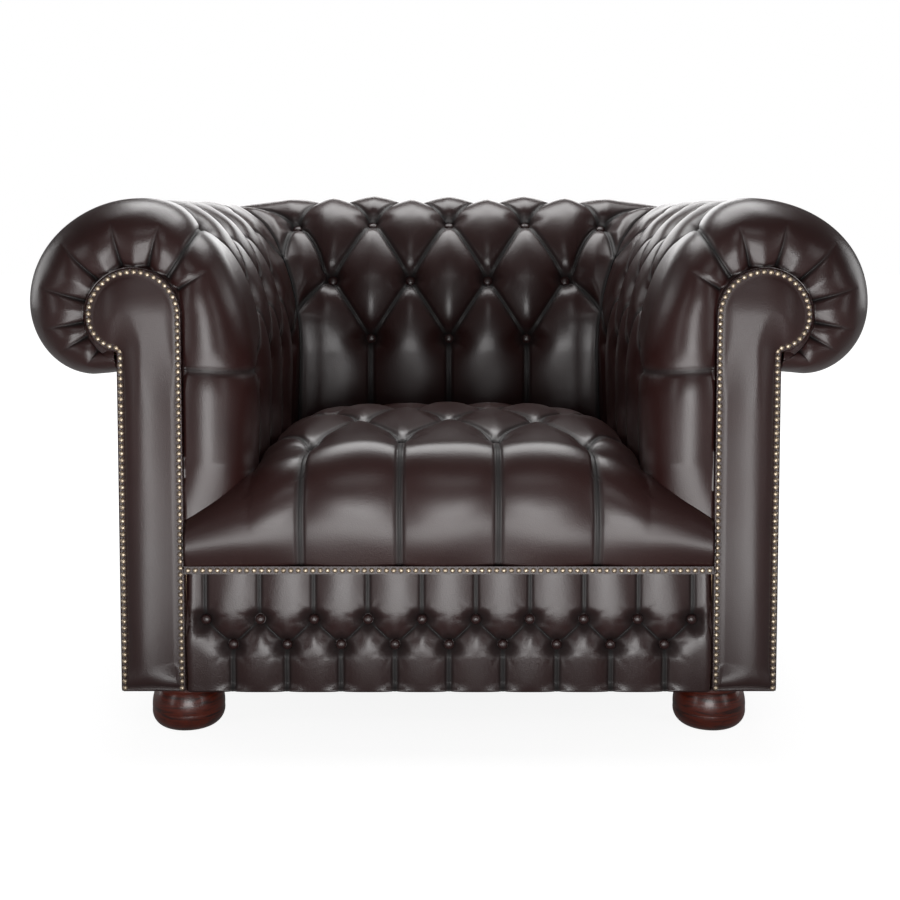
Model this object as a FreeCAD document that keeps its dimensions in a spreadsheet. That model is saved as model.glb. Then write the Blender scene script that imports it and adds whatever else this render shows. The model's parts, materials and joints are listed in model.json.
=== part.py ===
"""Chesterfield armchair: a timber frame with scrolled arms and back, springs, padding, and buttoned leather.

The chair stands on z = 0, faces -Y and is centred on x = 0. All lengths are millimetres.
"""

import FreeCAD, Part
import math
import os
from bisect import bisect_left

import Sketcher
from FreeCAD import Rotation, Vector

doc = FreeCAD.newDocument("Armchair")

# Driving dimensions

SIZES = [
    ("foot_height", 62, "visible height of a bun foot, floor to base"),
    ("foot_radius", 48, "widest radius of a bun foot"),
    ("foot_belly_z", 24, "height of the widest line of a foot"),
    ("foot_sole", 32, "radius of the flat under a foot"),
    ("foot_waist", 43, "radius where the bun meets its collar"),
    ("foot_waist_z", 52, "height where the bun meets its collar"),
    ("foot_collar", 44, "radius of the collar against the base"),
    ("foot_x", 350, "foot centre from the middle"),
    ("foot_front_y", 385, "front foot centre, ahead of the middle"),
    ("foot_rear_y", 262, "rear foot centre, behind the middle"),
    ("bolt_r", 4, "radius of the hanger bolt in a foot"),
    ("bolt_deep", 34, "how far the bolt goes down into the foot"),
    ("insert_r", 7, "radius of the threaded insert above a foot"),
    ("insert_tall", 16, "height of the threaded insert"),
    ("fit", 0.2, "clearance of a bolt or a nail in its hole"),
    ("cloth", 1, "thickness of the dust cover"),
    ("side_out", 427, "outer face of the base side from the middle"),
    ("back_out", 327, "outer face of the back, behind the middle"),
    ("facing_y", 445, "rim of the facings, ahead of the middle"),
    ("panel", 3, "thickness of a leather-covered outside panel"),
    ("panel_top", 490, "top edge of the outside panels"),
    ("facing_board", 8, "thickness of the facing's board"),
    ("facing_rim", 4, "thickness of the facing's leather and felt at its rim"),
    ("facing_pad", 8, "how far the padding of the facing stands out"),
    ("facing_edge", 9, "width of the flat rim that takes the nails"),
    ("facing_curve", 7, "rounding of the facing's padding"),
    ("scroll_board", 20, "thickness of the front scroll board"),
    ("former", 18, "thickness of the inner scroll formers"),
    ("former_past", 60, "how far the formers stand past the start of the corners"),
    ("scroll_in", 343, "inner edge of the scroll board from the middle"),
    ("scroll_x", 405, "scroll centre from the middle"),
    ("scroll_z", 553, "scroll centre above the floor"),
    ("scroll_notch", 507, "height of the notch under the scroll"),
    ("shell", 3, "thickness of the bent board over a roll"),
    ("shell_leg", 30, "how far the bent board runs down the inside"),
    ("rail", 28, "thickness of the beech rails"),
    ("rail_tall", 173, "height of the seat rails"),
    ("post_wide", 50, "width of the corner posts"),
    ("post_top", 483, "top of the corner posts"),
    ("back_post_deep", 50, "depth of the back corner posts"),
    ("tack_low", 257, "underside of the tacking rails"),
    ("tack_tall", 40, "height of the tacking rails"),
    ("slat", 18, "thickness of the roll slats"),
    ("slat_wide", 40, "width of the top and outer slats"),
    ("slat_gap", 50, "far face of those slats from the scroll centre"),
    ("slat_tall", 70, "height of the inner slat under the scroll centre"),
    ("block", 90, "side of a foot block"),
    ("block_tall", 45, "height of a foot block"),
    ("lining", 1.5, "thickness of the hessian linings"),
    ("leather", 1.6, "thickness of the leather"),
    ("ease", 0.3, "clearance between soft pieces and what they lie on"),
    ("crest_z", 705, "crest of the arm and back rolls"),
    ("crest_in", 401, "crest line from the middle"),
    ("bulge_in", 255, "inner face of the arm padding from the middle"),
    ("bulge_z", 450, "height where the inside face is fullest"),
    ("roll_out", 560, "outermost line of the arm roll"),
    ("roll_z", 568, "height of the outermost line"),
    ("roll_low_in", 468, "lowest line of the roll from the middle"),
    ("roll_low_z", 472, "lowest line of the roll above the floor"),
    ("tuck_in", 428, "where the roll leather meets the outside panel"),
    ("tuck_z", 476, "height of that line"),
    ("tail_in", 262, "foot of the inside padding from the middle"),
    ("tail_z", 257, "underside of the inside padding"),
    ("back_rise", 12, "how far the back's crest stands over the arms'"),
    ("dome", 75, "depth over which the arm front rounds to the full roll"),
    ("ring_gap", 5, "leather stands this far off the facing's edge"),
    ("fan_x", 215, "where the back's straight part ends"),
    ("corner_in", 40, "plan radius of the inner corner"),
    ("corner_out", 110, "plan radius of the roll's outer corner"),
    ("corner_low", 8, "plan radius under the roll, at the outside panels"),
    ("mitre_sink", 12, "depth of the fold where an arm meets the back"),
    ("tuft", 134, "button spacing along the arms and back"),
    ("row_low_z", 464, "lowest button row of the arms and back"),
    ("row_mid_z", 568, "middle button row"),
    ("row_high_z", 671, "button row below the crest"),
    ("row_over", 128, "last row, past the high row round the roll"),
    ("arm_first", 300, "first arm button ahead of the middle"),
    ("pocket", 34, "depth of a button pocket in the arms and back"),
    ("crease", 17, "depth of the folds halfway between buttons"),
    ("pleat", 9, "depth of the straight pleats"),
    ("button_r", 9, "radius of a covered button"),
    ("button_tall", 5, "height of a covered button"),
    ("seat_front", 447, "foot of the seat's front face, ahead of the middle"),
    ("seat_foot_z", 226, "underside of the seat cover at the front"),
    ("seat_belly", 13, "how far the front face bellies out"),
    ("seat_belly_z", 290, "height of the fullest line of the front face"),
    ("seat_crest_y", 392, "front crest of the seat, ahead of the middle"),
    ("seat_crest_z", 386, "height of that crest"),
    ("seat_crown_y", 200, "crown of the seat, ahead of the middle"),
    ("seat_crown_z", 397, "height of the crown"),
    ("seat_rear_y", 158, "rear edge of the seat, behind the middle"),
    ("seat_rear_z", 356, "height of the seat at its rear edge"),
    ("seat_half", 258.5, "half width of the seat between the arms"),
    ("seat_droop", 0.36, "share of its height that the seat loses at its sides"),
    ("seat_round", 42, "plan radius of the seat's rear corners"),
    ("seat_tuft", 128, "button spacing across the seat"),
    ("seat_first", 340, "front button row ahead of the middle"),
    ("seat_pitch", 138, "spacing of the button rows, front to back"),
    ("seat_pocket", 24, "depth of a button pocket in the seat"),
    ("seat_crease", 12, "depth of the seat's folds"),
    ("seat_pleat", 8, "depth of the pleats down the seat's front"),
    ("ear_half", 341, "half width of the seat's front between the facings"),
    ("ear_low_z", 296, "height of the seat's front corner at the facing"),
    ("ear_past", 3, "clearance between the seat's front corner and the arm"),
    ("border_top", 222, "upper edge of the front border"),
    ("border_y", 447, "edges of the front border, ahead of the middle"),
    ("border_crown", 3, "how far the middle of the border swells"),
    ("border_half", 342, "half width of the front border"),
    ("border_tuft", 70.4, "button spacing of the border"),
    ("border_high", 156, "upper button row of the border"),
    ("border_low", 122, "lower button row of the border"),
    ("border_pocket", 11, "depth of the border's button pockets"),
    ("border_crease", 6, "depth of the border's folds"),
    ("border_button", 6.5, "radius of a border button"),
    ("border_button_tall", 4, "height of a border button"),
    ("nail_r", 3.5, "radius of a nail head"),
    ("nail_dome", 2.4, "height of a nail head"),
    ("nail_pitch", 8.8, "spacing of the nails"),
    ("trim_pitch", 9.5, "spacing of the nails under the seat"),
    ("nail_inset", 5, "nail line from the facing's edge"),
    ("shank_r", 0.8, "radius of a nail shank"),
    ("shank_long", 9, "length of a nail shank"),
    ("strip_z", 224, "middle of the nailed strip under the seat"),
    ("strip_tall", 10, "height of the nailed strip"),
    ("strip", 2.5, "thickness of the nailed strip"),
    ("strip_y", 448.3, "back of the nailed strip, ahead of the middle"),
    ("wire_r", 1.9, "radius of the spring wire"),
    ("spring_wide", 50, "width of a zigzag spring"),
    ("spring_rise", 10, "arch of the springs"),
    ("spring_gap", 112, "spacing of the springs"),
    ("clip_wide", 26, "width of a spring clip"),
    ("clip_deep", 16, "depth of a spring clip"),
    ("clip", 1.4, "thickness of a spring clip's steel"),
    ("web", 50, "width of the webbing"),
    ("web_thick", 1.2, "thickness of the webbing"),
    ("web_gap", 110, "spacing of the webbing"),
]
FIRST_ROW = 2
SPRINGS = 5
SPRING_RUNS = 32
BACK_WEBS = 4
ARM_WEBS = 3
ARM_COLUMNS = 4
BORDER_COLUMNS = 19

# Radial pleats of the arm fronts, in degrees from the inner side over the top
PLEAT_ANGLES = [29, 47, 73, 103, 135, 163, 188, 207, 228]
ARM_CREASE_Z = 480

sheet = doc.addObject("Spreadsheet::Sheet", "Sizes")
for place, (alias, value, meaning) in enumerate(SIZES):
    row = place + FIRST_ROW
    sheet.set(f"A{row}", meaning)
    sheet.set(f"B{row}", str(value))
    sheet.setAlias(f"B{row}", alias)
doc.recompute()


def size(alias):
    """The number in a cell of the sheet."""
    return float(sheet.get(alias))


def bound(text):
    """An expression over the sheet's cells, written with the bare aliases."""
    words = {alias for alias, _, _ in SIZES}
    parts, word = [], ""
    for letter in text + " ":
        if letter.isalnum() or letter == "_" or (letter == "." and word and word[0].isdigit()):
            word += letter
            continue
        parts.append(f"Sizes.{word}" if word in words else word)
        parts.append(letter)
        word = ""
    return "".join(parts).strip()


kept = []


def keep(piece, label):
    """Marks a piece as one that is written out under its label."""
    piece.Label = label
    kept.append(piece)
    return piece


def board(label, x, y, z, keep_it=True):
    """A rectangular board between two expressions on each axis."""
    piece = doc.addObject("Part::Box", label)
    for side, (low, high) in zip(("Length", "Width", "Height"), (x, y, z)):
        piece.setExpression(side, bound(f"({high}) - ({low})"))
    for axis, (low, _) in zip("xyz", (x, y, z)):
        piece.setExpression(f"Placement.Base.{axis}", bound(low))
    return keep(piece, label) if keep_it else piece


def group(label, pieces):
    """Several solids that share one node."""
    piece = doc.addObject("Part::Compound", label)
    piece.Links = pieces
    return keep(piece, label)


def mirror_of(source):
    """The left-hand twin of a right-hand piece."""
    piece = doc.addObject("Part::Mirroring", f"{source.Name}Twin")
    piece.Source = source
    piece.Normal = Vector(1, 0, 0)
    return piece


def pair(source, name):
    """Names a right-hand piece and makes its left-hand twin."""
    keep(source, f"{name}_right")
    keep(mirror_of(source), f"{name}_left")


def solid_piece(label, shape):
    """A piece whose shape comes straight from this script's own geometry."""
    piece = doc.addObject("Part::Feature", label)
    piece.Shape = shape
    return piece


# Sketched bodies


def plane(body, role):
    return next(f for f in body.Origin.OriginFeatures if f.Role == role)


def new_sketch(body, name, role):
    sketch = body.newObject("Sketcher::SketchObject", name)
    sketch.AttachmentSupport = [(plane(body, role), "")]
    sketch.MapMode = "FlatFace"
    return sketch


def drive(sketch, name, kind, *where_and_value):
    """Adds a named dimension to a sketch, driven by an expression."""
    *where, start, text = where_and_value
    index = sketch.addConstraint(Sketcher.Constraint(kind, *where, start))
    sketch.renameConstraint(index, name)
    sketch.setExpression(f"Constraints.{name}", bound(text))


def scroll_sketch(body, name, inset, floor):
    """The facing's outline: a straight post that ends in a scroll. It is drawn in by inset, and starts at floor."""
    sketch = new_sketch(body, name, "XZ_Plane")
    edge = size(inset) if inset else 0
    text = inset or "0"
    left = size("scroll_in") + edge
    right = size("side_out") - edge
    low = total(floor)
    centre = Vector(size("scroll_x"), size("scroll_z"), 0)
    big = centre.x - left
    notch = size("scroll_notch") + edge
    tip = centre.x + big
    drop = centre.y - notch
    small = ((tip - right) ** 2 + drop**2) / (2 * (tip - right))
    small_centre = Vector(tip - small, centre.y, 0)
    turn = math.atan2(notch - centre.y, right - small_centre.x)
    up = Vector(0, 0, 1)
    sketch.addGeometry(Part.LineSegment(Vector(left, low, 0), Vector(left, centre.y, 0)))
    sketch.addGeometry(Part.ArcOfCircle(Part.Circle(centre, up, big), 0, math.pi))
    sketch.addGeometry(Part.ArcOfCircle(Part.Circle(small_centre, up, small), turn, 0))
    sketch.addGeometry(Part.LineSegment(Vector(right, notch, 0), Vector(right, low, 0)))
    sketch.addGeometry(Part.LineSegment(Vector(right, low, 0), Vector(left, low, 0)))
    con = Sketcher.Constraint
    sketch.addConstraint(con("Tangent", 0, 2, 1, 2))
    sketch.addConstraint(con("Tangent", 1, 1, 2, 2))
    sketch.addConstraint(con("Coincident", 2, 1, 3, 1))
    sketch.addConstraint(con("Coincident", 3, 2, 4, 1))
    sketch.addConstraint(con("Coincident", 4, 2, 0, 1))
    sketch.addConstraint(con("Vertical", 0))
    sketch.addConstraint(con("Vertical", 3))
    sketch.addConstraint(con("Horizontal", 4))
    sketch.addConstraint(con("Horizontal", 1, 3, 1, 1))
    drive(sketch, "inner_edge", "DistanceX", -1, 1, 0, 1, left, f"scroll_in + {text}")
    drive(sketch, "outer_edge", "DistanceX", -1, 1, 3, 2, right, f"side_out - {text}")
    drive(sketch, "underside", "DistanceY", -1, 1, 0, 1, low, floor)
    drive(sketch, "centre_x", "DistanceX", -1, 1, 1, 3, centre.x, "scroll_x")
    drive(sketch, "centre_z", "DistanceY", -1, 1, 1, 3, centre.y, "scroll_z")
    drive(sketch, "notch_z", "DistanceY", -1, 1, 3, 1, notch, f"scroll_notch + {text}")
    return sketch


def total(text):
    """The value of an expression that adds cells, for a sketch's first guess."""
    return sum(size(word.strip()) for word in text.split("+"))


def pad(body, sketch, name, text, towards_back):
    """A pad whose thickness follows an expression."""
    feature = body.newObject("PartDesign::Pad", name)
    feature.Profile = sketch
    feature.setExpression("Length", bound(text))
    feature.Reversed = towards_back
    sketch.Visibility = False
    doc.recompute()
    return feature


def scroll_body(name, inset, floor, thickness, front):
    """A board with the scroll outline, its front face at the place along Y that an expression gives."""
    body = doc.addObject("PartDesign::Body", name)
    outline = scroll_sketch(body, "Outline", inset, floor)
    pad(body, outline, "Board", thickness, True)
    body.setExpression("Placement.Base.y", bound(front))
    return body


# Base frame

BASE = "foot_height + cloth"
RAIL_TOP = f"{BASE} + rail_tall"
FACING_BACK = "-facing_y + facing_rim + facing_board"
RAIL_BACK = f"{FACING_BACK} + rail"
SCROLL_BACK = f"{FACING_BACK} + scroll_board"
POST_IN = "scroll_in + shell"
SIDE_FACE = "side_out - panel"
SIDE_INNER = f"{SIDE_FACE} - rail"
BACK_FACE = "back_out - panel"
BACK_INNER = f"{BACK_FACE} - rail"
BACK_POST_FRONT = f"{BACK_INNER} - back_post_deep"
BLOCK_TOP = f"{BASE} + block_tall"
TACK_TOP = "tack_low + tack_tall"


def place_of(text):
    """The value of an expression over the sheet's cells that adds and takes away."""
    value, sign = 0.0, 1
    for word in text.replace("-", " - ").replace("+", " + ").split():
        if word in "+-":
            sign = -1 if word == "-" else 1
        else:
            value += sign * size(word)
            sign = 1
    return value


def make_base():
    """Seat rails, posts, foot blocks and tacking rails."""
    inside = (f"-({POST_IN})", POST_IN)
    board("front_seat_rail", inside, (FACING_BACK, RAIL_BACK), (BASE, RAIL_TOP))
    board("back_seat_rail", (f"-({SIDE_INNER})", SIDE_INNER), (BACK_INNER, BACK_FACE), (BASE, RAIL_TOP))
    side = board("SideRail", (SIDE_INNER, SIDE_FACE), (SCROLL_BACK, BACK_FACE), (BASE, RAIL_TOP), False)
    pair(side, "side_seat_rail")
    across = (POST_IN, f"{POST_IN} + post_wide")
    front = board("FrontPost", across, (SCROLL_BACK, f"{SCROLL_BACK} + rail"), (BLOCK_TOP, "post_top"), False)
    pair(front, "front_arm_post")
    rear = board("RearPost", across, (BACK_POST_FRONT, BACK_INNER), (BLOCK_TOP, "post_top"), False)
    pair(rear, "back_corner_post")
    tack = ("tack_low", TACK_TOP)
    arm = board("ArmTack", (POST_IN, f"{POST_IN} + rail"), (f"{SCROLL_BACK} + rail", BACK_POST_FRONT), tack, False)
    twin = mirror_of(arm)
    back = board("BackTack", inside, (BACK_POST_FRONT, f"{BACK_POST_FRONT} + rail"), tack, False)
    group("tacking_rails", [arm, twin, back])


def make_foot_blocks():
    """The blocks in the base corners that the feet screw into, bored for the threaded inserts."""
    blocks = []
    for name, low, high, y in (
        ("FrontBlock", RAIL_BACK, f"{RAIL_BACK} + block", "-foot_front_y"),
        ("RearBlock", f"{BACK_INNER} - block", BACK_INNER, "foot_rear_y"),
    ):
        timber = board(name, (f"{SIDE_INNER} - block", SIDE_INNER), (low, high), (BASE, BLOCK_TOP), False)
        bore = rod(f"{name}Bore", "insert_r", "block_tall", y, BASE)
        cut = doc.addObject("Part::Cut", f"{name}Bored")
        cut.Base = timber
        cut.Tool = bore
        blocks += [cut, mirror_of(cut)]
    group("foot_blocks", blocks)


def rod(name, radius, tall, y, z):
    """An upright cylinder over a foot's centre."""
    piece = doc.addObject("Part::Cylinder", name)
    piece.setExpression("Radius", bound(radius))
    piece.setExpression("Height", bound(tall))
    piece.setExpression("Placement.Base.x", bound("foot_x"))
    piece.setExpression("Placement.Base.y", bound(y))
    piece.setExpression("Placement.Base.z", bound(z))
    return piece


# Feet, with the bolts that hold them


def foot_body(name):
    """A turned bun foot with a collar, bored for its bolt."""
    body = doc.addObject("PartDesign::Body", name)
    sketch = new_sketch(body, "Profile", "XZ_Plane")
    sole, belly, waist, collar = (size(a) for a in ("foot_sole", "foot_radius", "foot_waist", "foot_collar"))
    belly_z, waist_z, top = size("foot_belly_z"), size("foot_waist_z"), size("foot_height")
    bore, floor = size("bolt_r") + size("fit"), top - size("bolt_deep")
    spots = [(0, 0), (sole, 0), (belly, belly_z), (waist, waist_z), (collar, waist_z + 3), (collar, top)]
    spots += [(bore, top), (bore, floor), (0, floor)]
    points = [Vector(x, z, 0) for x, z in spots]
    low_way = Vector(sole + (belly - sole) * 0.76, belly_z * 0.34, 0)
    high_way = Vector(waist + (belly - waist) * 0.86, belly_z + (waist_z - belly_z) * 0.52, 0)
    sketch.addGeometry(Part.LineSegment(points[0], points[1]))
    sketch.addGeometry(Part.Arc(points[1], low_way, points[2]))
    sketch.addGeometry(Part.Arc(points[2], high_way, points[3]))
    for first, last in zip(points[3:], points[4:] + points[:1]):
        sketch.addGeometry(Part.LineSegment(first, last))
    driven = [
        ("sole", "DistanceX", 0, 2, sole, "foot_sole"),
        ("belly", "DistanceX", 3, 1, waist, "foot_waist"),
        ("waist_z", "DistanceY", 3, 1, waist_z, "foot_waist_z"),
        ("collar", "DistanceX", 4, 1, collar, "foot_collar"),
        ("top", "DistanceY", 4, 2, top, "foot_height"),
        ("bore", "DistanceX", 6, 1, bore, "bolt_r + fit"),
        ("floor", "DistanceY", 7, 1, floor, "foot_height - bolt_deep"),
    ]
    for text, kind, edge, end, value, expression in driven:
        drive(sketch, text, kind, -1, 1, edge, end, value, expression)
    turn = body.newObject("PartDesign::Revolution", "Turned")
    turn.Profile = sketch
    turn.ReferenceAxis = (sketch, ["V_Axis"])
    turn.Angle = 360
    sketch.Visibility = False
    return body


def make_feet():
    """Four feet, their bolts and the threaded inserts in the blocks."""
    bolts, inserts = [], []
    for place, y in (("front", "-foot_front_y"), ("rear", "foot_rear_y")):
        body = foot_body(f"Foot{place.title()}")
        body.setExpression("Placement.Base.x", bound("foot_x"))
        body.setExpression("Placement.Base.y", bound(y))
        pair(body, f"foot_{place}")
        bolt = rod(f"Bolt{place}", "bolt_r", "bolt_deep + cloth + insert_tall", y, "foot_height - bolt_deep")
        bolts += [bolt, mirror_of(bolt)]
        outer = rod(f"Insert{place}", "insert_r", "insert_tall", y, BASE)
        inner = rod(f"InsertBore{place}", "bolt_r", "insert_tall", y, BASE)
        ring = doc.addObject("Part::Cut", f"InsertRing{place}")
        ring.Base = outer
        ring.Tool = inner
        inserts += [ring, mirror_of(ring)]
    group("foot_bolts", bolts)
    group("foot_inserts", inserts)


# Scroll boards, formers, slats and bent boards of the rolls

FORMER_Y = "fan_x - side_out + back_out + former_past - former"
FORMER_X = "fan_x + former_past"


def make_scrolls():
    """The timber inside the arm and back rolls."""
    pair(scroll_body("ScrollBoard", "shell", BASE, "scroll_board", FACING_BACK), "scroll_board")
    arm = scroll_body("ArmFormer", "shell", TACK_TOP, "former", FORMER_Y)
    formers = [arm, mirror_of(arm)]
    for name, shift in (("Right", FORMER_X), ("Left", f"former - ({FORMER_X})")):
        turned = scroll_body(f"BackFormer{name}", "shell", TACK_TOP, "former", "back_out - side_out")
        turned.Placement.Rotation = Rotation(Vector(0, 0, 1), 90)
        turned.setExpression("Placement.Base.x", bound(shift))
        formers.append(turned)
    group("roll_formers", formers)

    slats = []
    for name, x, z in slat_places("0"):
        slats.append(board(f"ArmSlat{name}", x, (SCROLL_BACK, FORMER_Y), z, False))
    arm_slats = doc.addObject("Part::Compound", "ArmSlats")
    arm_slats.Links = slats
    pair(arm_slats, "arm_roll_slats")
    half = f"{FORMER_X} - former"
    slats = []
    for name, y, z in slat_places("back_out - side_out"):
        slats.append(board(f"BackSlat{name}", (f"-({half})", half), y, z, False))
    group("back_roll_slats", slats)


def slat_places(shift):
    """Name, span across the roll and span in height of each of the three slats of a roll."""
    centre = f"scroll_x + {shift}"
    flat = (f"{centre} - slat_wide / 2", f"{centre} + slat_wide / 2")
    tall = ("scroll_z - slat_wide / 2", "scroll_z + slat_wide / 2")
    inner = f"scroll_in + shell + {shift}"
    return [
        ("Top", flat, ("scroll_z + slat_gap - slat", "scroll_z + slat_gap")),
        ("Outer", (f"{centre} + slat_gap - slat", f"{centre} + slat_gap"), tall),
        ("Inner", (inner, f"{inner} + slat"), ("scroll_z - slat_tall", "scroll_z")),
    ]


SHELL_END = -60


def shell_face():
    """Section of the bent board over a roll, in the X-Z plane: a leg up the inside and an arc over the top."""
    outer = size("scroll_x") - size("scroll_in")
    inner = outer - size("shell")
    cx, cz = size("scroll_x"), size("scroll_z")
    foot = cz - size("shell_leg")

    def spot(radius, degrees):
        turn = math.radians(degrees)
        return Vector(cx + radius * math.cos(turn), 0, cz + radius * math.sin(turn))

    edges = [
        Part.makeLine(Vector(cx - outer, 0, foot), spot(outer, 180)),
        Part.Arc(spot(outer, 180), spot(outer, 90), spot(outer, 0)).toShape(),
        Part.Arc(spot(outer, 0), spot(outer, SHELL_END / 2), spot(outer, SHELL_END)).toShape(),
        Part.makeLine(spot(outer, SHELL_END), spot(inner, SHELL_END)),
        Part.Arc(spot(inner, SHELL_END), spot(inner, SHELL_END / 2), spot(inner, 0)).toShape(),
        Part.Arc(spot(inner, 0), spot(inner, 90), spot(inner, 180)).toShape(),
        Part.makeLine(spot(inner, 180), Vector(cx - inner, 0, foot)),
        Part.makeLine(Vector(cx - inner, 0, foot), Vector(cx - outer, 0, foot)),
    ]
    return Part.Face(Part.Wire(edges))


def make_shells():
    """Bent boards that carry the padding of the rolls."""
    front, rear = place_of(FACING_BACK), place_of(FORMER_Y) + size("former")
    arm = shell_face()
    arm.translate(Vector(0, front, 0))
    pair(solid_piece("ArmShell", arm.extrude(Vector(0, rear - front, 0))), "arm_roll_shell")
    back = shell_face()
    back.rotate(Vector(0, 0, 0), Vector(0, 0, 1), 90)
    half = place_of(FORMER_X)
    back.translate(Vector(half, BACK_SHIFT, 0))
    keep(solid_piece("back_roll_shell", back.extrude(Vector(-2 * half, 0, 0))), "back_roll_shell")


def make_linings():
    """Hessian and webbing on the inside of the arms and the back, from the tacking rails up to the shells."""
    tall = ("tack_low", "scroll_z - shell_leg")
    x = ("scroll_in", "scroll_in + lining")
    pair(board("ArmLining", x, (FACING_BACK, f"{FORMER_Y} + former"), tall, False), "inside_arm_hessian")
    y = ("scroll_in + back_out - side_out", "scroll_in + lining + back_out - side_out")
    board("inside_back_hessian", (f"-({FORMER_X})", FORMER_X), y, tall)
    straps = []
    behind = "scroll_in + lining + ease"
    for i in range(BACK_WEBS):
        middle = f"({i} - {BACK_WEBS - 1} / 2) * web_gap"
        y = (f"{behind} + back_out - side_out", f"{behind} + web_thick + back_out - side_out")
        straps.append(board(f"BackWeb{i}", (f"{middle} - web / 2", f"{middle} + web / 2"), y, tall, False))
    for i in range(ARM_WEBS):
        middle = f"({i} - {ARM_WEBS - 1} / 2) * web_gap * 1.6 - web_gap"
        y = (f"{middle} - web / 2", f"{middle} + web / 2")
        strap = board(f"ArmWeb{i}", (behind, f"{behind} + web_thick"), y, tall, False)
        straps += [strap, mirror_of(strap)]
    group("webbing", straps)


# Seat springs and the hessian over them


def deck(y, lift):
    """Height of the arch that the springs make, at a place along Y, raised by a lift square to it."""
    half = (SPRING_REAR - SPRING_FRONT) / 2
    radius = (half**2 + size("spring_rise") ** 2) / (2 * size("spring_rise"))
    end = place_of(RAIL_TOP) + size("clip") + size("wire_r")
    foot = end + size("spring_rise") - radius
    return foot + math.sqrt((radius + lift) ** 2 - (y - (SPRING_REAR + SPRING_FRONT) / 2) ** 2)


def deck_edge(x, first, last, lift):
    """The arch as an edge between two places along Y."""
    spots = [Vector(x, y, deck(y, lift)) for y in (first, (first + last) / 2, last)]
    return Part.Arc(*spots).toShape()


SPRING_FRONT = place_of(FACING_BACK) + size("rail") / 2
SPRING_REAR = place_of(BACK_INNER) + size("rail") / 2
HESSIAN_LIFT = size("wire_r") + size("fit") + size("clip") + size("ease")


def spring_shape():
    """A zigzag spring: straight runs across, joined by half circles, on an arch from front to back."""
    half = (SPRING_REAR - SPRING_FRONT) / 2
    middle = (SPRING_REAR + SPRING_FRONT) / 2
    radius = (half**2 + size("spring_rise") ** 2) / (2 * size("spring_rise"))
    whole = 2 * math.asin(half / radius)
    runs = []
    for i in range(SPRING_RUNS):
        turn = whole * (i / (SPRING_RUNS - 1) - 0.5)
        y = middle + radius * math.sin(turn)
        runs.append(Vector(0, y, deck(y, 0)))
    reach = size("spring_wide") / 2 - (runs[1] - runs[0]).Length / 2
    edges = []
    for i, run in enumerate(runs):
        side = 1 if i % 2 == 0 else -1
        start, end = run + Vector(-side * reach, 0, 0), run + Vector(side * reach, 0, 0)
        edges.append(Part.makeLine(start, end))
        if i < SPRING_RUNS - 1:
            after = runs[i + 1] + Vector(side * reach, 0, 0)
            bend = (after - end).Length / 2
            edges.append(Part.Arc(end, (end + after) / 2 + Vector(side * bend, 0, 0), after).toShape())
    path = Part.Wire(edges)
    start = runs[0] + Vector(-reach, 0, 0)
    ring = Part.Wire([Part.makeCircle(size("wire_r"), start, Vector(1, 0, 0))])
    return path.makePipeShell([ring], True, False)


def clip_shape(towards):
    """A steel clip round a spring's end, open towards the other end."""
    deep, thick = size("clip_deep"), size("clip")
    floor = place_of(RAIL_TOP)
    inside = floor + thick + 2 * size("wire_r") + size("fit")
    back = -towards * deep / 2
    corners = [
        (back, floor),
        (back + towards * deep, floor),
        (back + towards * deep, floor + thick),
        (back + towards * thick, floor + thick),
        (back + towards * thick, inside),
        (back + towards * deep * 0.75, inside),
        (back + towards * deep * 0.75, inside + thick),
        (back, inside + thick),
    ]
    wide = size("clip_wide")
    points = [Vector(-wide / 2, y, z) for y, z in corners + corners[:1]]
    return Part.Face(Part.makePolygon(points)).extrude(Vector(wide, 0, 0))


def make_springs():
    """Five springs, their clips on the rails, and the hessian over them."""
    spring = spring_shape()
    springs, clips = [], []
    for i in range(SPRINGS):
        x = (i - (SPRINGS - 1) / 2) * size("spring_gap")
        springs.append(spring.translated(Vector(x, 0, 0)))
        clips.append(clip_shape(1).translated(Vector(x, SPRING_FRONT, 0)))
        clips.append(clip_shape(-1).translated(Vector(x, SPRING_REAR, 0)))
    keep(solid_piece("seat_springs", Part.Compound(springs)), "seat_springs")
    keep(solid_piece("spring_clips", Part.Compound(clips)), "spring_clips")
    half = size("ear_half")
    first, last = place_of(FACING_BACK) + size("ease"), place_of(BACK_FACE)
    top = HESSIAN_LIFT + size("lining")
    low_edge = deck_edge(-half, first, last, HESSIAN_LIFT)
    top_edge = deck_edge(-half, first, last, top)
    sides = [Part.makeLine(low_edge.Vertexes[i].Point, top_edge.Vertexes[i].Point) for i in (0, 1)]
    section = Part.Face(Part.Wire(Part.__sortEdges__([low_edge, top_edge] + sides)))
    keep(solid_piece("seat_hessian", section.extrude(Vector(2 * half, 0, 0))), "seat_hessian")


# Curves that sections are drawn on, and the sections of tufted padding

STEPS = 48


class Outline:
    """A curve of many short steps, measured along its length, with the padding on its right."""

    def __init__(self, points):
        self.points = points
        self.lengths = [0.0]
        for here, there in zip(points, points[1:]):
            self.lengths.append(self.lengths[-1] + math.dist(here, there))

    def at(self, along):
        """The point at a length along the curve, and the direction out of the padding there."""
        i = min(max(bisect_left(self.lengths, along), 1), len(self.lengths) - 1)
        (a0, b0), (a1, b1) = self.points[i - 1], self.points[i]
        span = self.lengths[i] - self.lengths[i - 1]
        share = (along - self.lengths[i - 1]) / span
        out = (-(b1 - b0) / span, (a1 - a0) / span)
        return (a0 + (a1 - a0) * share, b0 + (b1 - b0) * share), out

    def find(self, test):
        """Length along the curve of the first point that a test accepts."""
        return next(length for length, point in zip(self.lengths, self.points) if test(*point))

    def end(self):
        return self.lengths[-1]


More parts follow.
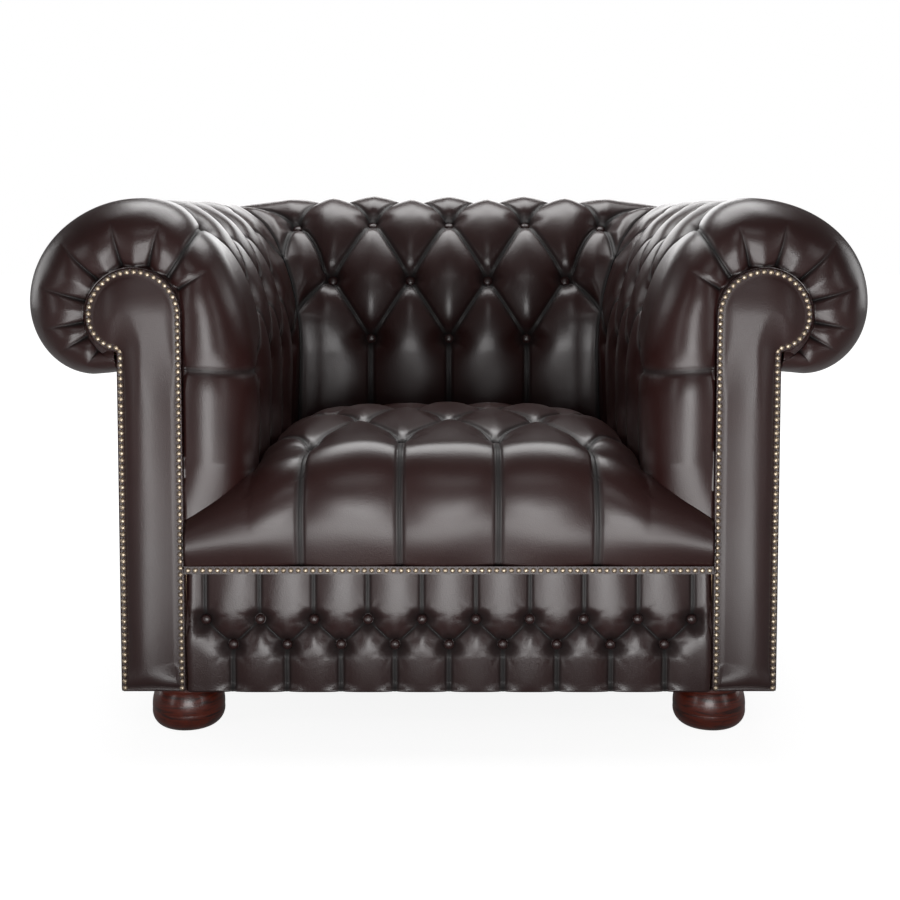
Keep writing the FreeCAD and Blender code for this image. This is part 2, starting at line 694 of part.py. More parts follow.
def quarter(ca, cb, ra, rb, start, end):
    """Points of an ellipse's quarter, without its first."""
    points = []
    for i in range(1, STEPS + 1):
        turn = math.radians(start + (end - start) * i / STEPS)
        points.append((ca + ra * math.cos(turn), cb + rb * math.sin(turn)))
    return points


def edge_through(first, middle, last):
    """An arc through three points, or a line where they lie in a row."""
    bend = (middle - first).cross(last - middle).Length
    if bend < 0.02 * (last - first).Length:
        return Part.makeLine(first, last)
    return Part.Arc(first, middle, last).toShape()


def chain(curve, place, marks, depth):
    """The outer side of a section, sunk by a further depth: its corners, and a point between each two.

    A mark is a length along the curve, how deep the section sinks there, and how deep it is on the way to
    the next mark.
    """
    corners, crowns = [], []
    for mark, (along, sink, between) in enumerate(marks):
        (a, b), (oa, ob) = curve(along)
        corners.append(place(a - oa * (sink + depth), b - ob * (sink + depth)))
        if mark < len(marks) - 1:
            (a, b), (oa, ob) = curve((along + marks[mark + 1][0]) / 2)
            crowns.append(place(a - oa * (between + depth), b - ob * (between + depth)))
    return corners, crowns


def pocket_half(curve, along, deep, half):
    """Half the length that a pocket takes along a curve, so that its floor is as wide as asked."""
    reach = half
    while True:
        ends = []
        for at in (along - reach, along + reach):
            (a, b), (oa, ob) = curve(at)
            ends.append((a - oa * deep, b - ob * deep))
        if math.dist(*ends) >= 2 * half:
            return reach
        reach += 0.25


def chain_edges(corners, crowns):
    return [edge_through(a, m, b) for a, m, b in zip(corners, crowns, corners[1:])]


def lines(points):
    return [Part.makeLine(a, b) for a, b in zip(points, points[1:])]


def cover_wire(outer, inner):
    """A thin closed section: the outer side, and the inner side walked back."""
    corners, crowns = outer
    inside, inside_crowns = inner
    edges = chain_edges(corners, crowns)
    edges += lines([corners[-1], inside[-1]])
    edges += chain_edges(inside[::-1], inside_crowns[::-1])
    edges += lines([inside[0], corners[0]])
    return Part.Wire(edges)


def lofted(wires):
    """A solid through closed wires, straight between each two."""
    shape = Part.makeLoft(wires, True, True)
    if shape.Volume < 0:
        shape.reverse()
    return shape


def one_solid(shape):
    """A fused shape as its single solid."""
    shape = shape.removeSplitter()
    return shape.Solids[0] if len(shape.Solids) == 1 else shape


# Covered buttons


def cap(radius, tall):
    """A spherical cap that stands on z = 0."""
    ball = (radius**2 + tall**2) / (2 * tall)
    low = math.degrees(math.asin((ball - tall) / ball))
    return Part.makeSphere(ball, Vector(0, 0, tall - ball), Vector(0, 0, 1), low, 90, 360)


def button_shape(radius, tall):
    """A covered button that stands on z = 0: a short drum with a domed top."""
    drum = tall / 3
    dome = cap(radius, tall - drum).translated(Vector(0, 0, drum))
    return one_solid(dome.fuse(Part.makeCylinder(radius, drum)))


def set_out(shape, place, out):
    """A copy of a shape with its foot at a place, facing out."""
    copy = shape.copy()
    copy.Placement = FreeCAD.Placement(place, Rotation(Vector(0, 0, 1), out))
    return copy


def set_buttons(button, deep, spots):
    """Buttons in their pockets; a spot is a curve, a way to place its points, and a length along it."""
    made = []
    for curve, place, along in spots:
        (a, b), (oa, ob) = curve(along)
        sunk = deep - size("ease")
        foot = place(a - oa * sunk, b - ob * sunk)
        made.append(set_out(button, foot, place(a - oa * (sunk - 1), b - ob * (sunk - 1)) - foot))
    return Part.Compound(made)


# The outline of the padding round a roll, from the seat over the crest to the tuck


def roll_outline():
    crest_in, crest_z = size("crest_in"), size("crest_z")
    inner = crest_in - size("bulge_in"), crest_z - size("bulge_z")
    outer = size("roll_out") - crest_in, crest_z - size("roll_z")
    under = size("roll_out") - size("roll_low_in"), size("roll_z") - size("roll_low_z")
    points = [(size("tail_in"), size("tail_z")), (size("bulge_in"), size("bulge_z"))]
    points += quarter(crest_in, size("bulge_z"), *inner, 180, 90)
    points += quarter(crest_in, size("roll_z"), *outer, 90, 0)
    points += quarter(size("roll_low_in"), size("roll_z"), *under, 0, -90)
    points.append((size("tuck_in"), size("tuck_z")))
    return Outline(points)


ROLL = roll_outline()
ROW_LOW = ROLL.find(lambda a, z: z >= size("row_low_z"))
ROW_MID = ROLL.find(lambda a, z: z >= size("row_mid_z"))
ROW_HIGH = ROLL.find(lambda a, z: z >= size("row_high_z"))
ROW_OVER = ROW_HIGH + size("row_over")
ROLL_SIDE = ROW_OVER + (ROLL.end() - ROW_OVER) * 0.38
ROLL_UNDER = ROW_OVER + (ROLL.end() - ROW_OVER) * 0.72
BACK_SHIFT = size("back_out") - size("side_out")
FAN_Y = size("fan_x") + BACK_SHIFT
HALF_POCKET = 10


def low_and_high():
    """Marks of a section through the low and high buttons of a roll."""
    deep, pleat = size("pocket"), size("pleat")
    low = pocket_half(ROLL.at, ROW_LOW, deep, HALF_POCKET)
    high = pocket_half(ROLL.at, ROW_HIGH, deep, HALF_POCKET)
    return [
        (0, pleat, pleat),
        (ROW_LOW - low, deep, deep),
        (ROW_LOW + low, deep, 0),
        (ROW_HIGH - high, deep, deep),
        (ROW_HIGH + high, deep, 5),
        (ROW_OVER, 0, 0),
        (ROLL_SIDE, 0, 0),
        (ROLL_UNDER, 0, 0),
        (ROLL.end(), 0, 0),
    ]


def mid_and_over():
    """Marks of a section through the middle and last buttons, half a spacing further on."""
    deep, pleat = size("pocket"), size("pleat")
    mid = pocket_half(ROLL.at, ROW_MID, deep, HALF_POCKET)
    over = pocket_half(ROLL.at, ROW_OVER, deep, HALF_POCKET)
    return [
        (0, 0, 0),
        (ROW_LOW, 0, 5),
        (ROW_MID - mid, deep, deep),
        (ROW_MID + mid, deep, 0),
        (ROW_OVER - over, deep, deep),
        (ROW_OVER + over, deep, pleat),
        (ROLL_SIDE, pleat, pleat),
        (ROLL_UNDER, pleat, pleat),
        (ROLL.end(), 0, 0),
    ]


def halfway():
    """Marks of a section a quarter of a spacing from the buttons, where the folds cross."""
    fold = size("crease")
    sinks = [2, 4, fold, fold, fold, 4, 2, 2, 0]
    rises = [2, 3, 0, 0, 0, 2, 1, 0, 0]
    return [((a[0] + b[0]) / 2, s, r) for a, b, s, r in zip(low_and_high(), mid_and_over(), sinks, rises)]


def plain():
    """Marks of a section with no tufts."""
    return [(along, 0, 0) for along, _, _ in halfway()]


def mitre():
    """Marks of the deep fold where an arm meets the back."""
    fold, between = size("crease"), size("mitre_sink")
    return [(along, min(sink + fold, size("pocket")), between) for along, sink, _ in halfway()]


def finer(marks):
    """The same marks with one more in each of the three spans round the outside of the roll."""
    result = marks[:5]
    for (a, sink, between), (b, after, _) in zip(marks[5:], marks[6:]):
        result += [(a, sink, between), ((a + b) / 2, (sink + after) / 2, between)]
    return result + marks[-1:]


def corner_radius(across, up):
    """Plan radius of the rear corner for a point of the outline."""
    low, inner, outer = size("corner_low"), size("corner_in"), size("corner_out")
    if up < size("roll_z") and across > size("scroll_x"):
        share = (across - size("side_out")) / (size("roll_out") - size("side_out"))
        return max(low + (outer - low) * share, low)
    return inner + (outer - inner) * (across - size("bulge_in")) / (size("roll_out") - size("bulge_in"))


def placed(station):
    """How a station turns a distance across and a height into a point.

    An arm's station is at a place along Y, the back's at a distance from the middle on one side, and a
    corner's on a ray that turns about the fan point by a number of degrees.
    """
    kind, value, side = station

    def place(across, up):
        if kind == "arm":
            return Vector(across, value, up)
        if kind == "back":
            return Vector(value * side, across + BACK_SHIFT, up)
        reach = across - size("fan_x")
        radius = max(min(corner_radius(across, up), reach), 0.0)
        start = reach - radius
        turn = math.radians(value)
        ux, uy = math.cos(turn), math.sin(turn)
        middle = start * (ux + uy)
        along = middle + math.sqrt(max(middle**2 - 2 * start**2 + radius**2, 0.0))
        if reach * uy / ux <= start:
            along = reach / ux
        elif reach * ux / uy <= start:
            along = reach / uy
        return Vector((size("fan_x") + along * ux) * side, FAN_Y + along * uy, up)

    return place


def lifted(station):
    """The same for the cover's surface, which rises towards the back's crest."""
    kind, value, _ = station
    place = placed(station)
    share = {"arm": 0.0, "back": 1.0}.get(kind, max(value - 45, 0) / 45)

    def lift(across, up):
        height = (up - size("bulge_z")) / (size("crest_z") - size("bulge_z"))
        return place(across, up + size("back_rise") * share * max(height, 0.0))

    return lift


def backing_edges(station, outer_end, outer_start):
    """The side of a section that lies on the bent board and the lining, from the tuck back to the seat."""
    radius = size("scroll_x") - size("scroll_in") + size("ease")
    cx, cz = size("scroll_x"), size("scroll_z")
    wall = size("tuck_in") + size("ease")
    drop = -math.degrees(math.acos((wall - cx) / radius))
    place = placed(station)

    def spot(degrees):
        turn = math.radians(degrees)
        return place(cx + radius * math.cos(turn), cz + radius * math.sin(turn))

    edges = lines([outer_end, spot(drop)])
    for first, last in ((drop, 0), (0, 90), (90, 180)):
        edges.append(edge_through(spot(first), spot((first + last) / 2), spot(last)))
    return edges + lines([spot(180), place(cx - radius, size("tail_z")), outer_start])


def roll_wires(stations, inside):
    """Sections of a roll's cover, or of the foam inside it."""
    skin, gap = size("leather"), size("ease")
    wires = []
    for station, marks in stations:
        outer = chain(ROLL.at, lifted(station), marks, skin + gap if inside else 0)
        if inside:
            edges = chain_edges(*outer) + backing_edges(station, outer[0][-1], outer[0][0])
            wires.append(Part.Wire(edges))
        else:
            wires.append(cover_wire(outer, chain(ROLL.at, lifted(station), marks, skin)))
    return wires


# Arms

DOME_SHARES = [0.04, 0.15, 0.35, 0.64, 1]
DOME_FOLD = 7


def front_chain(depth, folds, skin):
    """A section of the arm's rounded front at a depth behind the facing, with its radial pleats."""
    share = depth / size("dome")
    swell = math.sqrt(max(1 - (1 - share) ** 2, 0.0))
    fold = DOME_FOLD * math.sin(math.pi * share) + 2 * (1 - share)
    cx, cz = size("scroll_x"), size("scroll_z")
    ring = cx - size("scroll_in") + size("ring_gap")
    place = placed(("arm", depth - size("facing_y"), 1))

    def shaped(along, sink):
        (x, z), (ox, oz) = ROLL.at(along)
        if x < cx and z < cz:
            rx, rz = cx - ring, z
        else:
            reach = math.dist((x, z), (cx, cz))
            rx, rz = cx + (x - cx) * ring / reach, cz + (z - cz) * ring / reach
        if z < cz and x > cx:
            rx = max(rx, size("tuck_in") + 1)
        across, up = rx + (x - rx) * swell, rz + (z - rz) * swell
        return place(across - ox * (sink + skin), up - oz * (sink + skin))

    marks = [0, ROLL.find(lambda x, z: z >= ARM_CREASE_Z)] + folds + [ROLL.end()]
    corners = [shaped(along, fold) for along in marks]
    corners[0], corners[-1] = shaped(marks[0], 0), shaped(marks[-1], 0)
    crowns = [shaped((a + b) / 2, 0) for a, b in zip(marks, marks[1:])]
    return corners, crowns


def radial_folds():
    """Where each radial pleat of the arm's front meets the full roll."""
    cx, cz = size("scroll_x"), size("scroll_z")

    def past(x, z, angle):
        turn = math.degrees(math.atan2(z - cz, cx - x)) % 360
        return (z > cz or x > cx) and turn >= angle

    return [ROLL.find(lambda x, z, a=angle: past(x, z, a)) for angle in PLEAT_ANGLES]


def arm_stations():
    """Planes across the arm, from its rounded front to the mitre, with the marks of each."""
    step, half = size("tuft"), HALF_POCKET
    stations = []
    for column in range(ARM_COLUMNS):
        y = step * column - size("arm_first")
        stations += [(("arm", y + shift, 1), low_and_high()) for shift in (-half, half)]
        if column < ARM_COLUMNS - 1:
            stations.append((("arm", y + step / 4, 1), halfway()))
            stations += [(("arm", y + step / 2 + shift, 1), mid_and_over()) for shift in (-half, half)]
            stations.append((("arm", y + step * 3 / 4, 1), halfway()))
    stations += [(("fan", turn, 1), halfway()) for turn in (18, 32, 39)]
    stations.append((("fan", 45, 1), mitre()))
    return [(station, finer(marks)) for station, marks in stations]


def make_arms():
    """Padding, cover and buttons of the inside arm, which runs over the roll."""
    folds = radial_folds()
    skin = size("leather")
    cover_front, foam_front = [], []
    for share in DOME_SHARES:
        depth = share * size("dome")
        cover_front.append(cover_wire(front_chain(depth, folds, 0), front_chain(depth, folds, skin)))
        corners, crowns = front_chain(depth, folds, skin + size("ease"))
        station = ("arm", depth - size("facing_y"), 1)
        edges = chain_edges(corners, crowns) + backing_edges(station, corners[-1], corners[0])
        foam_front.append(Part.Wire(edges))
    pair(solid_piece("ArmCover", lofted(cover_front + roll_wires(arm_stations(), False))), "inside_arm_cover")
    pair(solid_piece("ArmFoam", lofted(foam_front + roll_wires(arm_stations(), True))), "inside_arm_foam")
    spots = []
    for column in range(ARM_COLUMNS):
        y = size("tuft") * column - size("arm_first")
        spots += [(ROLL.at, placed(("arm", y, 1)), row) for row in (ROW_LOW, ROW_HIGH)]
        if column < ARM_COLUMNS - 1:
            between = placed(("arm", y + size("tuft") / 2, 1))
            spots += [(ROLL.at, between, row) for row in (ROW_MID, ROW_OVER)]
    button = button_shape(size("button_r"), size("button_tall"))
    pair(solid_piece("ArmButtons", set_buttons(button, size("pocket"), spots)), "inside_arm_buttons")


# Back

CORNER_BUTTON = 65


def back_stations():
    """Planes across the back from the right-hand mitre to the left-hand one."""
    step, half = size("tuft"), HALF_POCKET
    right = [("fan", 45, mitre), ("fan", 51, halfway)]
    right += [("fan", CORNER_BUTTON + turn, low_and_high) for turn in (-6, 6)] + [("fan", 81, halfway)]
    for number, marks in ((1.5, mid_and_over), (1, low_and_high), (0.5, mid_and_over)):
        right += [("back", number * step + shift, marks) for shift in (half, -half)]
        right.append(("back", (number - 0.25) * step, halfway))
    right.append(("back", half, low_and_high))
    stations = [((kind, value, 1), marks()) for kind, value, marks in right]
    return stations + [((kind, value, -1), marks()) for kind, value, marks in reversed(right)]


def corner_place(side):
    """How the corner's button is placed: square to the back's face, which is straight there."""
    fan = lifted(("fan", CORNER_BUTTON, side))
    (a, z), (oa, oz) = ROLL.at(ROW_HIGH)
    x = fan(a - oa * size("pocket"), z - oz * size("pocket")).x
    return lambda across, up: Vector(x, fan(across, up).y, fan(across, up).z)


def make_back():
    """Padding, cover and buttons of the inside back."""
    keep(solid_piece("BackCover", lofted(roll_wires(back_stations(), False))), "inside_back_cover")
    keep(solid_piece("BackFoam", lofted(roll_wires(back_stations(), True))), "inside_back_foam")
    step = size("tuft")
    spots = []
    for side in (-1, 1):
        for number in (0.5, 1.5):
            place = lifted(("back", number * step, side))
            spots += [(ROLL.at, place, row) for row in (ROW_MID, ROW_OVER)]
        place = lifted(("back", step, side))
        spots += [(ROLL.at, place, row) for row in (ROW_LOW, ROW_HIGH)]
        spots.append((ROLL.at, corner_place(side), ROW_HIGH))
    spots += [(ROLL.at, lifted(("back", 0, 1)), row) for row in (ROW_LOW, ROW_HIGH)]
    button = button_shape(size("button_r"), size("button_tall"))
    keep(solid_piece("BackButtons", set_buttons(button, size("pocket"), spots)), "inside_back_buttons")


# Seat


def seat_outline():
    """Middle section of the seat in the Y-Z plane, from its front foot over the crest to the back."""
    front, foot = -size("seat_front"), size("seat_foot_z")
    belly, belly_z = size("seat_belly"), size("seat_belly_z")
    crest, crest_z = -size("seat_crest_y"), size("seat_crest_z")
    crown, crown_z = -size("seat_crown_y"), size("seat_crown_z")
    rear, rear_z = size("seat_rear_y"), size("seat_rear_z")
    points = []
    for i in range(STEPS + 1):
        share = i / STEPS
        points.append((front - belly * math.sin(share * math.pi / 2), foot + (belly_z - foot) * share))
    points += quarter(crest, belly_z, crest - front + belly, crest_z - belly_z, 180, 90)
    for start, end, low in ((crest, crown, crest_z), (crown, rear, rear_z)):
        for i in range(1, STEPS + 1):
            y = start + (end - start) * i / STEPS
            off = (y - crown) / (start - crown if start != crown else end - crown)
            points.append((y, crown_z - (crown_z - low) * off**2))
    return Outline(points)


SEAT = seat_outline()
SEAT_ROWS = [SEAT.find(lambda y, z, r=row: y >= size("seat_pitch") * r - size("seat_first")) for row in range(4)]
SEAT_BELLY = SEAT.find(lambda y, z: z >= 330)


def seat_curve(x):
    """The seat's section at a distance from the middle: it droops towards the arms."""
    share = 1 - size("seat_droop") * (abs(x) / size("seat_half")) ** 5
    foot = size("seat_foot_z")

    def curve(along):
        (y, z), (oy, oz) = SEAT.at(along)
        length = math.hypot(oy * share, oz)
        return (y, foot + (z - foot) * share), (oy * share / length, oz / length)

    return curve


def seat_end(x):
    """Length along the seat's section where it meets the back or the rounded corner."""
    over = abs(x) - (size("seat_half") - size("seat_round"))
    if over <= 0:
        return SEAT.end()
    rear = size("seat_rear_y") - size("seat_round") + math.sqrt(size("seat_round") ** 2 - over**2)
    return SEAT.find(lambda y, z: y >= rear)


def seat_marks(kind, x):
    """Marks of the seat's section: through the first and third rows, the other two, or between them."""
    deep, fold, pleat, half = size("seat_pocket"), size("seat_crease"), size("seat_pleat"), HALF_POCKET
    one, two, three, four = SEAT_ROWS
    odd = [
        (0, pleat * 0.6, pleat * 0.8),
        (SEAT_BELLY, pleat, pleat),
        (one - half, deep, deep),
        (one + half, deep, 0),
        (three - half, deep, deep),
        (three + half, deep, 0),
        (four, 0, 0),
        (seat_end(x), 0, 0),
    ]
    even = [
        (0, 0, 0),
        (SEAT_BELLY, 0, 0),
        (one, 0, 0),
        (two - half, deep, deep),
        (two + half, deep, 0),
        (four - half, deep, deep),
        (four + half, deep, 5),
        (seat_end(x), 0, 0),
    ]
    if kind in ("odd", "even"):
        return odd if kind == "odd" else even
    share = {"halfway": 1, "weak": 0.4, "plain": 0}[kind]
    sinks = [1, 2, 4, fold, fold, fold, 3, 0]
    return [((a[0] + b[0]) / 2, s * share, 0) for a, b, s in zip(odd, even, sinks)]


def seat_stations():
    """Planes across the seat, left to right: the place, the section's kind, and the place whose curve it has."""
    step, half = size("seat_tuft"), HALF_POCKET
    right = [(half, "even", 0)]
    for number, kind in ((0.5, "odd"), (1, "even"), (1.5, "odd")):
        right.append(((number - 0.25) * step, "halfway", (number - 0.25) * step))
        right += [(number * step + shift, kind, number * step) for shift in (-half, half)]
    edge = size("seat_half")
    inner = (edge + 1.5 * step) / 2
    right += [(inner, "weak", inner), ((inner + edge) / 2, "plain", (inner + edge) / 2), (edge, "plain", edge)]
    return [(-x, kind, -own) for x, kind, own in reversed(right)] + right


def seat_place(x):
    return lambda y, z: Vector(x, y, z)


def ear_half_wires(inside):
    """Sections of the seat's front corner, in the wedge between the facing and the arm's rounded front."""
    ring = size("scroll_in") - size("ring_gap")
    full = ring - size("tail_in")
    low_z, high_z = size("ear_low_z"), seat_curve(size("seat_half"))(SEAT_ROWS[0])[0][1]
    front, foot = -size("seat_front"), size("seat_foot_z")
    wires = []
    inner, outer = size("seat_half") - 4, size("ear_half")
    for share in (0, 0.09, 0.2, 0.34, 0.5, 0.68, 0.84, 1):
        x = inner + (outer - inner) * share
        out = min(max((ring - x) / full, 0.0), 1.0)
        back = size("dome") * (1 - math.sqrt(1 - out**2)) - size("facing_y") - size("ear_past")
        back = max(back, front + 4)
        top = high_z + (low_z - high_z) * share**1.5
        belly = size("seat_belly") * min(1.0, (top - foot) / 70)

        def section(depth):
            start = Vector(x, front + depth, foot)
            waist = Vector(x, front - belly + depth, (foot + top) / 2)
            brow = Vector(x, front - belly * 0.6 + depth, top - 8 - depth * 0.6)
            crest = Vector(x, (brow.y + back) / 2, top + 1 - depth)
            return [start, brow, Vector(x, back, top - depth)], [waist, crest]

        if inside:
            corners, crowns = section(size("leather") + size("ease"))
            floor = deck(back, HESSIAN_LIFT + size("lining") + size("ease"))
            low = min(place_of(FACING_BACK) - size("ease"), back - 0.5)
            rest = [corners[-1], Vector(x, back, floor), Vector(x, low, floor), Vector(x, low, foot), corners[0]]
            wires.append(Part.Wire(chain_edges(corners, crowns) + lines(rest)))
        else:
            wires.append(cover_wire(section(0), section(size("leather"))))
    return wires


def make_seat():
    """Foam, cover and buttons of the seat."""
    skin, gap = size("leather"), size("ease")
    lift = HESSIAN_LIFT + size("lining") + gap
    front = place_of(FACING_BACK) - gap
    cover_wires, foam_wires = [], []
    for x, kind, own in seat_stations():
        curve, place, marks = seat_curve(own), seat_place(x), seat_marks(kind, x)
        cover_wires.append(cover_wire(chain(curve, place, marks, 0), chain(curve, place, marks, skin)))
        corners, crowns = chain(curve, place, marks, skin + gap)
        rear = corners[-1].y
        edges = chain_edges(corners, crowns) + lines([corners[-1], Vector(x, rear, deck(rear, lift))])
        edges.append(deck_edge(x, rear, front, lift))
        edges += lines([Vector(x, front, deck(front, lift)), Vector(x, front, corners[0].z), corners[0]])
        foam_wires.append(Part.Wire(edges))
    for label, wires, inside in (("seat_cover", cover_wires, False), ("seat_foam", foam_wires, True)):
        ear = lofted(ear_half_wires(inside))
        whole = lofted(wires).multiFuse([ear, ear.mirror(Vector(0, 0, 0), Vector(1, 0, 0))])
        keep(solid_piece(label, one_solid(whole)), label)
    step = size("seat_tuft")
    spots = []
    for row, places in enumerate(((-1.5, -0.5, 0.5, 1.5), (-1, 0, 1)) * 2):
        spots += [(seat_curve(n * step), seat_place(n * step), SEAT_ROWS[row]) for n in places]
    button = button_shape(size("button_r"), size("button_tall"))
    keep(solid_piece("seat_buttons", set_buttons(button, size("seat_pocket"), spots)), "seat_buttons")


# Front border

HALF_SMALL = 7


def border_outline():
    """Section of the border in the Y-Z plane, from its foot to its top."""
    low, high = size("foot_height"), size("border_top")
    points = []
    for i in range(STEPS + 1):
        share = i / STEPS
        bulge = size("border_crown") * (1 - (2 * share - 1) ** 2)
        points.append((-size("border_y") - bulge, low + (high - low) * share))
    return Outline(points)


BORDER = border_outline()
BORDER_LOW = BORDER.find(lambda y, z: z >= size("border_low"))
BORDER_HIGH = BORDER.find(lambda y, z: z >= size("border_high"))


def border_marks(kind):
    """Marks of the border's section, from its foot up."""
    deep, fold, half = size("border_pocket"), size("border_crease"), HALF_SMALL
    top = BORDER.end()
    low = [(0, 4, 4), (BORDER_LOW - half, deep, deep), (BORDER_LOW + half, deep, 0), (BORDER_HIGH, 0, 0), (top, 0, 0)]
    high = [(0, 0, 0), (BORDER_LOW, 0, 0), (BORDER_HIGH - half, deep, deep), (BORDER_HIGH + half, deep, 4), (top, 3, 0)]
    if kind == "between":
        return [((a[0] + b[0]) / 2, sink, 0) for a, b, sink in zip(low, high, (1, 2, fold, 2, 1))]
    return low if kind == "low" else high


def make_border():
    """Padding, cover and buttons of the front border."""
    skin, gap, half = size("leather"), size("ease"), size("border_half")
    step = size("border_tuft") / 2
    columns = [(i - (BORDER_COLUMNS - 1) / 2) * step for i in range(BORDER_COLUMNS)]
    stations = [(-half, "between")]
    for i, x in enumerate(columns):
        stations += [(x + shift, "high" if i % 2 == 0 else "low") for shift in (-HALF_SMALL, HALF_SMALL)]
        stations.append((x + step / 2, "between"))
    stations[-1] = (half, "between")
    cover_wires, foam_wires = [], []
    back = place_of(FACING_BACK) - gap
    for x, kind in stations:
        place, marks = seat_place(x), border_marks(kind)
        cover_wires.append(cover_wire(chain(BORDER.at, place, marks, 0), chain(BORDER.at, place, marks, skin)))
        corners, crowns = chain(BORDER.at, place, marks, skin + gap)
        rest = [corners[-1], Vector(x, back, corners[-1].z), Vector(x, back, corners[0].z), corners[0]]
        foam_wires.append(Part.Wire(chain_edges(corners, crowns) + lines(rest)))
    keep(solid_piece("BorderCover", lofted(cover_wires)), "front_border_cover")
    keep(solid_piece("BorderFoam", lofted(foam_wires)), "front_border_foam")
    button = button_shape(size("border_button"), size("border_button_tall"))
    rows = (BORDER_HIGH, BORDER_LOW)
    spots = [(BORDER.at, seat_place(x), rows[i % 2]) for i, x in enumerate(columns)]
    keep(solid_piece("BorderButtons", set_buttons(button, size("border_pocket"), spots)), "front_border_buttons")


# Nails, facings and the nailed strip


def nail_shape():
    """A domed nail whose head sits on z = 0 with its shank below."""
    long = size("shank_long")
    shank = Part.makeCylinder(size("shank_r"), long, Vector(0, 0, -long))
    return one_solid(cap(size("nail_r"), size("nail_dome")).fuse(shank))


def nail_line():
    """Places of the nails round a facing, evenly spaced: up the inner side, round the scroll and down."""
    inset = size("nail_inset")
    left, right = size("scroll_in") + inset, size("side_out") - inset
    low, notch = size("foot_height") + inset, size("scroll_notch") + inset
    cx, cz = size("scroll_x"), size("scroll_z")
    big = cx - left
    tip = cx + big
    small = ((tip - right) ** 2 + (cz - notch) ** 2) / (2 * (tip - right))
    turn = math.degrees(math.atan2(notch - cz, right - tip + small))
    points = [(left, low), (left, cz)]
    points += quarter(cx, cz, big, big, 180, 90) + quarter(cx, cz, big, big, 90, 0)
    points += quarter(tip - small, cz, small, small, 0, turn)
    points.append((right, low))
    path = Outline(points)
    count = round(path.end() / size("nail_pitch"))
    return [path.at(path.end() * i / count)[0] for i in range(count + 1)]


def holes(places, y):
    """Pilot holes for nails driven in from a front plane."""
    radius = size("shank_r") + size("fit")
    rods = [
        Part.makeCylinder(radius, size("shank_long") + 1, Vector(x, y - 1, z), Vector(0, 1, 0)) for x, z in places
    ]
    return solid_piece("NailHoles", Part.Compound(rods))


def drilled(name, base, tool):
    piece = doc.addObject("Part::Cut", name)
    piece.Base = base
    piece.Tool = tool
    return piece


def facing_cover():
    """The leather of a facing: a flat rim, and padding that stands out of it with a rounded edge."""
    body = scroll_body("FacingCover", "", "foot_height", "facing_rim", "-facing_y")
    outline = scroll_sketch(body, "PadOutline", "facing_edge", "foot_height + facing_edge")
    raised = pad(body, outline, "Padding", "facing_pad", False)
    front = -size("facing_pad")
    names = []
    for i, edge in enumerate(raised.Shape.Edges):
        if all(abs(v.Y - front) < 0.01 for v in edge.Vertexes):
            names.append(f"Edge{i + 1}")
    rounded = body.newObject("PartDesign::Fillet", "Rounded")
    rounded.Base = (raised, names)
    rounded.setExpression("Radius", bound("facing_curve"))
    return body


def make_facings():
    """Board, leather and nails of a facing, and the nailed strip under the seat."""
    places = nail_line()
    drill = holes(places, -size("facing_y"))
    wood = scroll_body("FacingBoard", "", "foot_height", "facing_board", "-facing_y + facing_rim")
    pair(drilled("FacingBoardDrilled", wood, drill), "facing_board")
    pair(drilled("FacingCoverDrilled", facing_cover(), drill), "facing_cover")
    nail = nail_shape()
    out = Vector(0, -1, 0)
    nails = [set_out(nail, Vector(x, -size("facing_y"), z), out) for x, z in places]
    pair(solid_piece("FacingNails", Part.Compound(nails)), "facing_nails")

    half, middle = size("border_half"), size("strip_z")
    span = 2 * half - size("trim_pitch")
    count = round(span / size("trim_pitch"))
    places = [(span * (i / count - 0.5), middle) for i in range(count + 1)]
    face = -size("strip_y") - size("strip")
    y = ("-strip_y - strip", "-strip_y")
    z = ("strip_z - strip_tall / 2", "strip_z + strip_tall / 2")
    strip = board("Strip", ("-border_half", "border_half"), y, z, False)
    keep(drilled("StripDrilled", strip, holes(places, face)), "seat_trim_strip")
    nails = [set_out(nail, Vector(x, face, z), out) for x, z in places]
    keep(solid_piece("StripNails", Part.Compound(nails)), "seat_trim_nails")


# Outside panels and the dust cover


def make_outside():
    """Leather-covered panels at the sides and the back, and the cloth under the base."""
    tall = ("foot_height", "panel_top")
    pair(board("OutsideArm", (SIDE_FACE, "side_out"), (FACING_BACK, "back_out"), tall, False), "outside_arm_panel")
    board("outside_back_panel", (f"-({SIDE_FACE})", SIDE_FACE), (BACK_FACE, "back_out"), tall)
    span = (f"-({SIDE_FACE})", SIDE_FACE)
    cloth = board("Cloth", span, (FACING_BACK, BACK_FACE), ("foot_height", BASE), False)
    rods = []
    for y in ("-foot_front_y", "foot_rear_y"):
        bore = rod("ClothBore", "insert_r", "cloth", y, "foot_height")
        rods += [bore, mirror_of(bore)]
    bores = doc.addObject("Part::Compound", "ClothBores")
    bores.Links = rods
    keep(drilled("ClothCut", cloth, bores), "dust_cover")


make_base()
make_foot_blocks()
make_feet()
make_scrolls()
make_shells()
make_linings()
make_springs()
make_arms()
make_back()
make_seat()
make_border()
make_facings()
make_outside()
doc.recompute()


# Checks and files

bad = [o.Name for o in doc.Objects if "Invalid" in o.State or "Error" in o.State]
if bad:
    raise RuntimeError(f"these objects failed: {bad}")
os.makedirs("parts", exist_ok=True)
for piece in kept:
    shape = piece.Shape
    if shape.isNull() or not shape.isValid() or not shape.Solids:
        raise RuntimeError(f"{piece.Label} has no valid solid")
    shape.exportStep(os.path.join("parts", f"{piece.Label}.step"))
    print(piece.Label, len(shape.Solids), round(shape.Volume / 1e6, 3))
print(len(kept), "nodes")
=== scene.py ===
import json
import math

import bmesh
import bpy
import numpy as np
from mathutils import Matrix, Vector


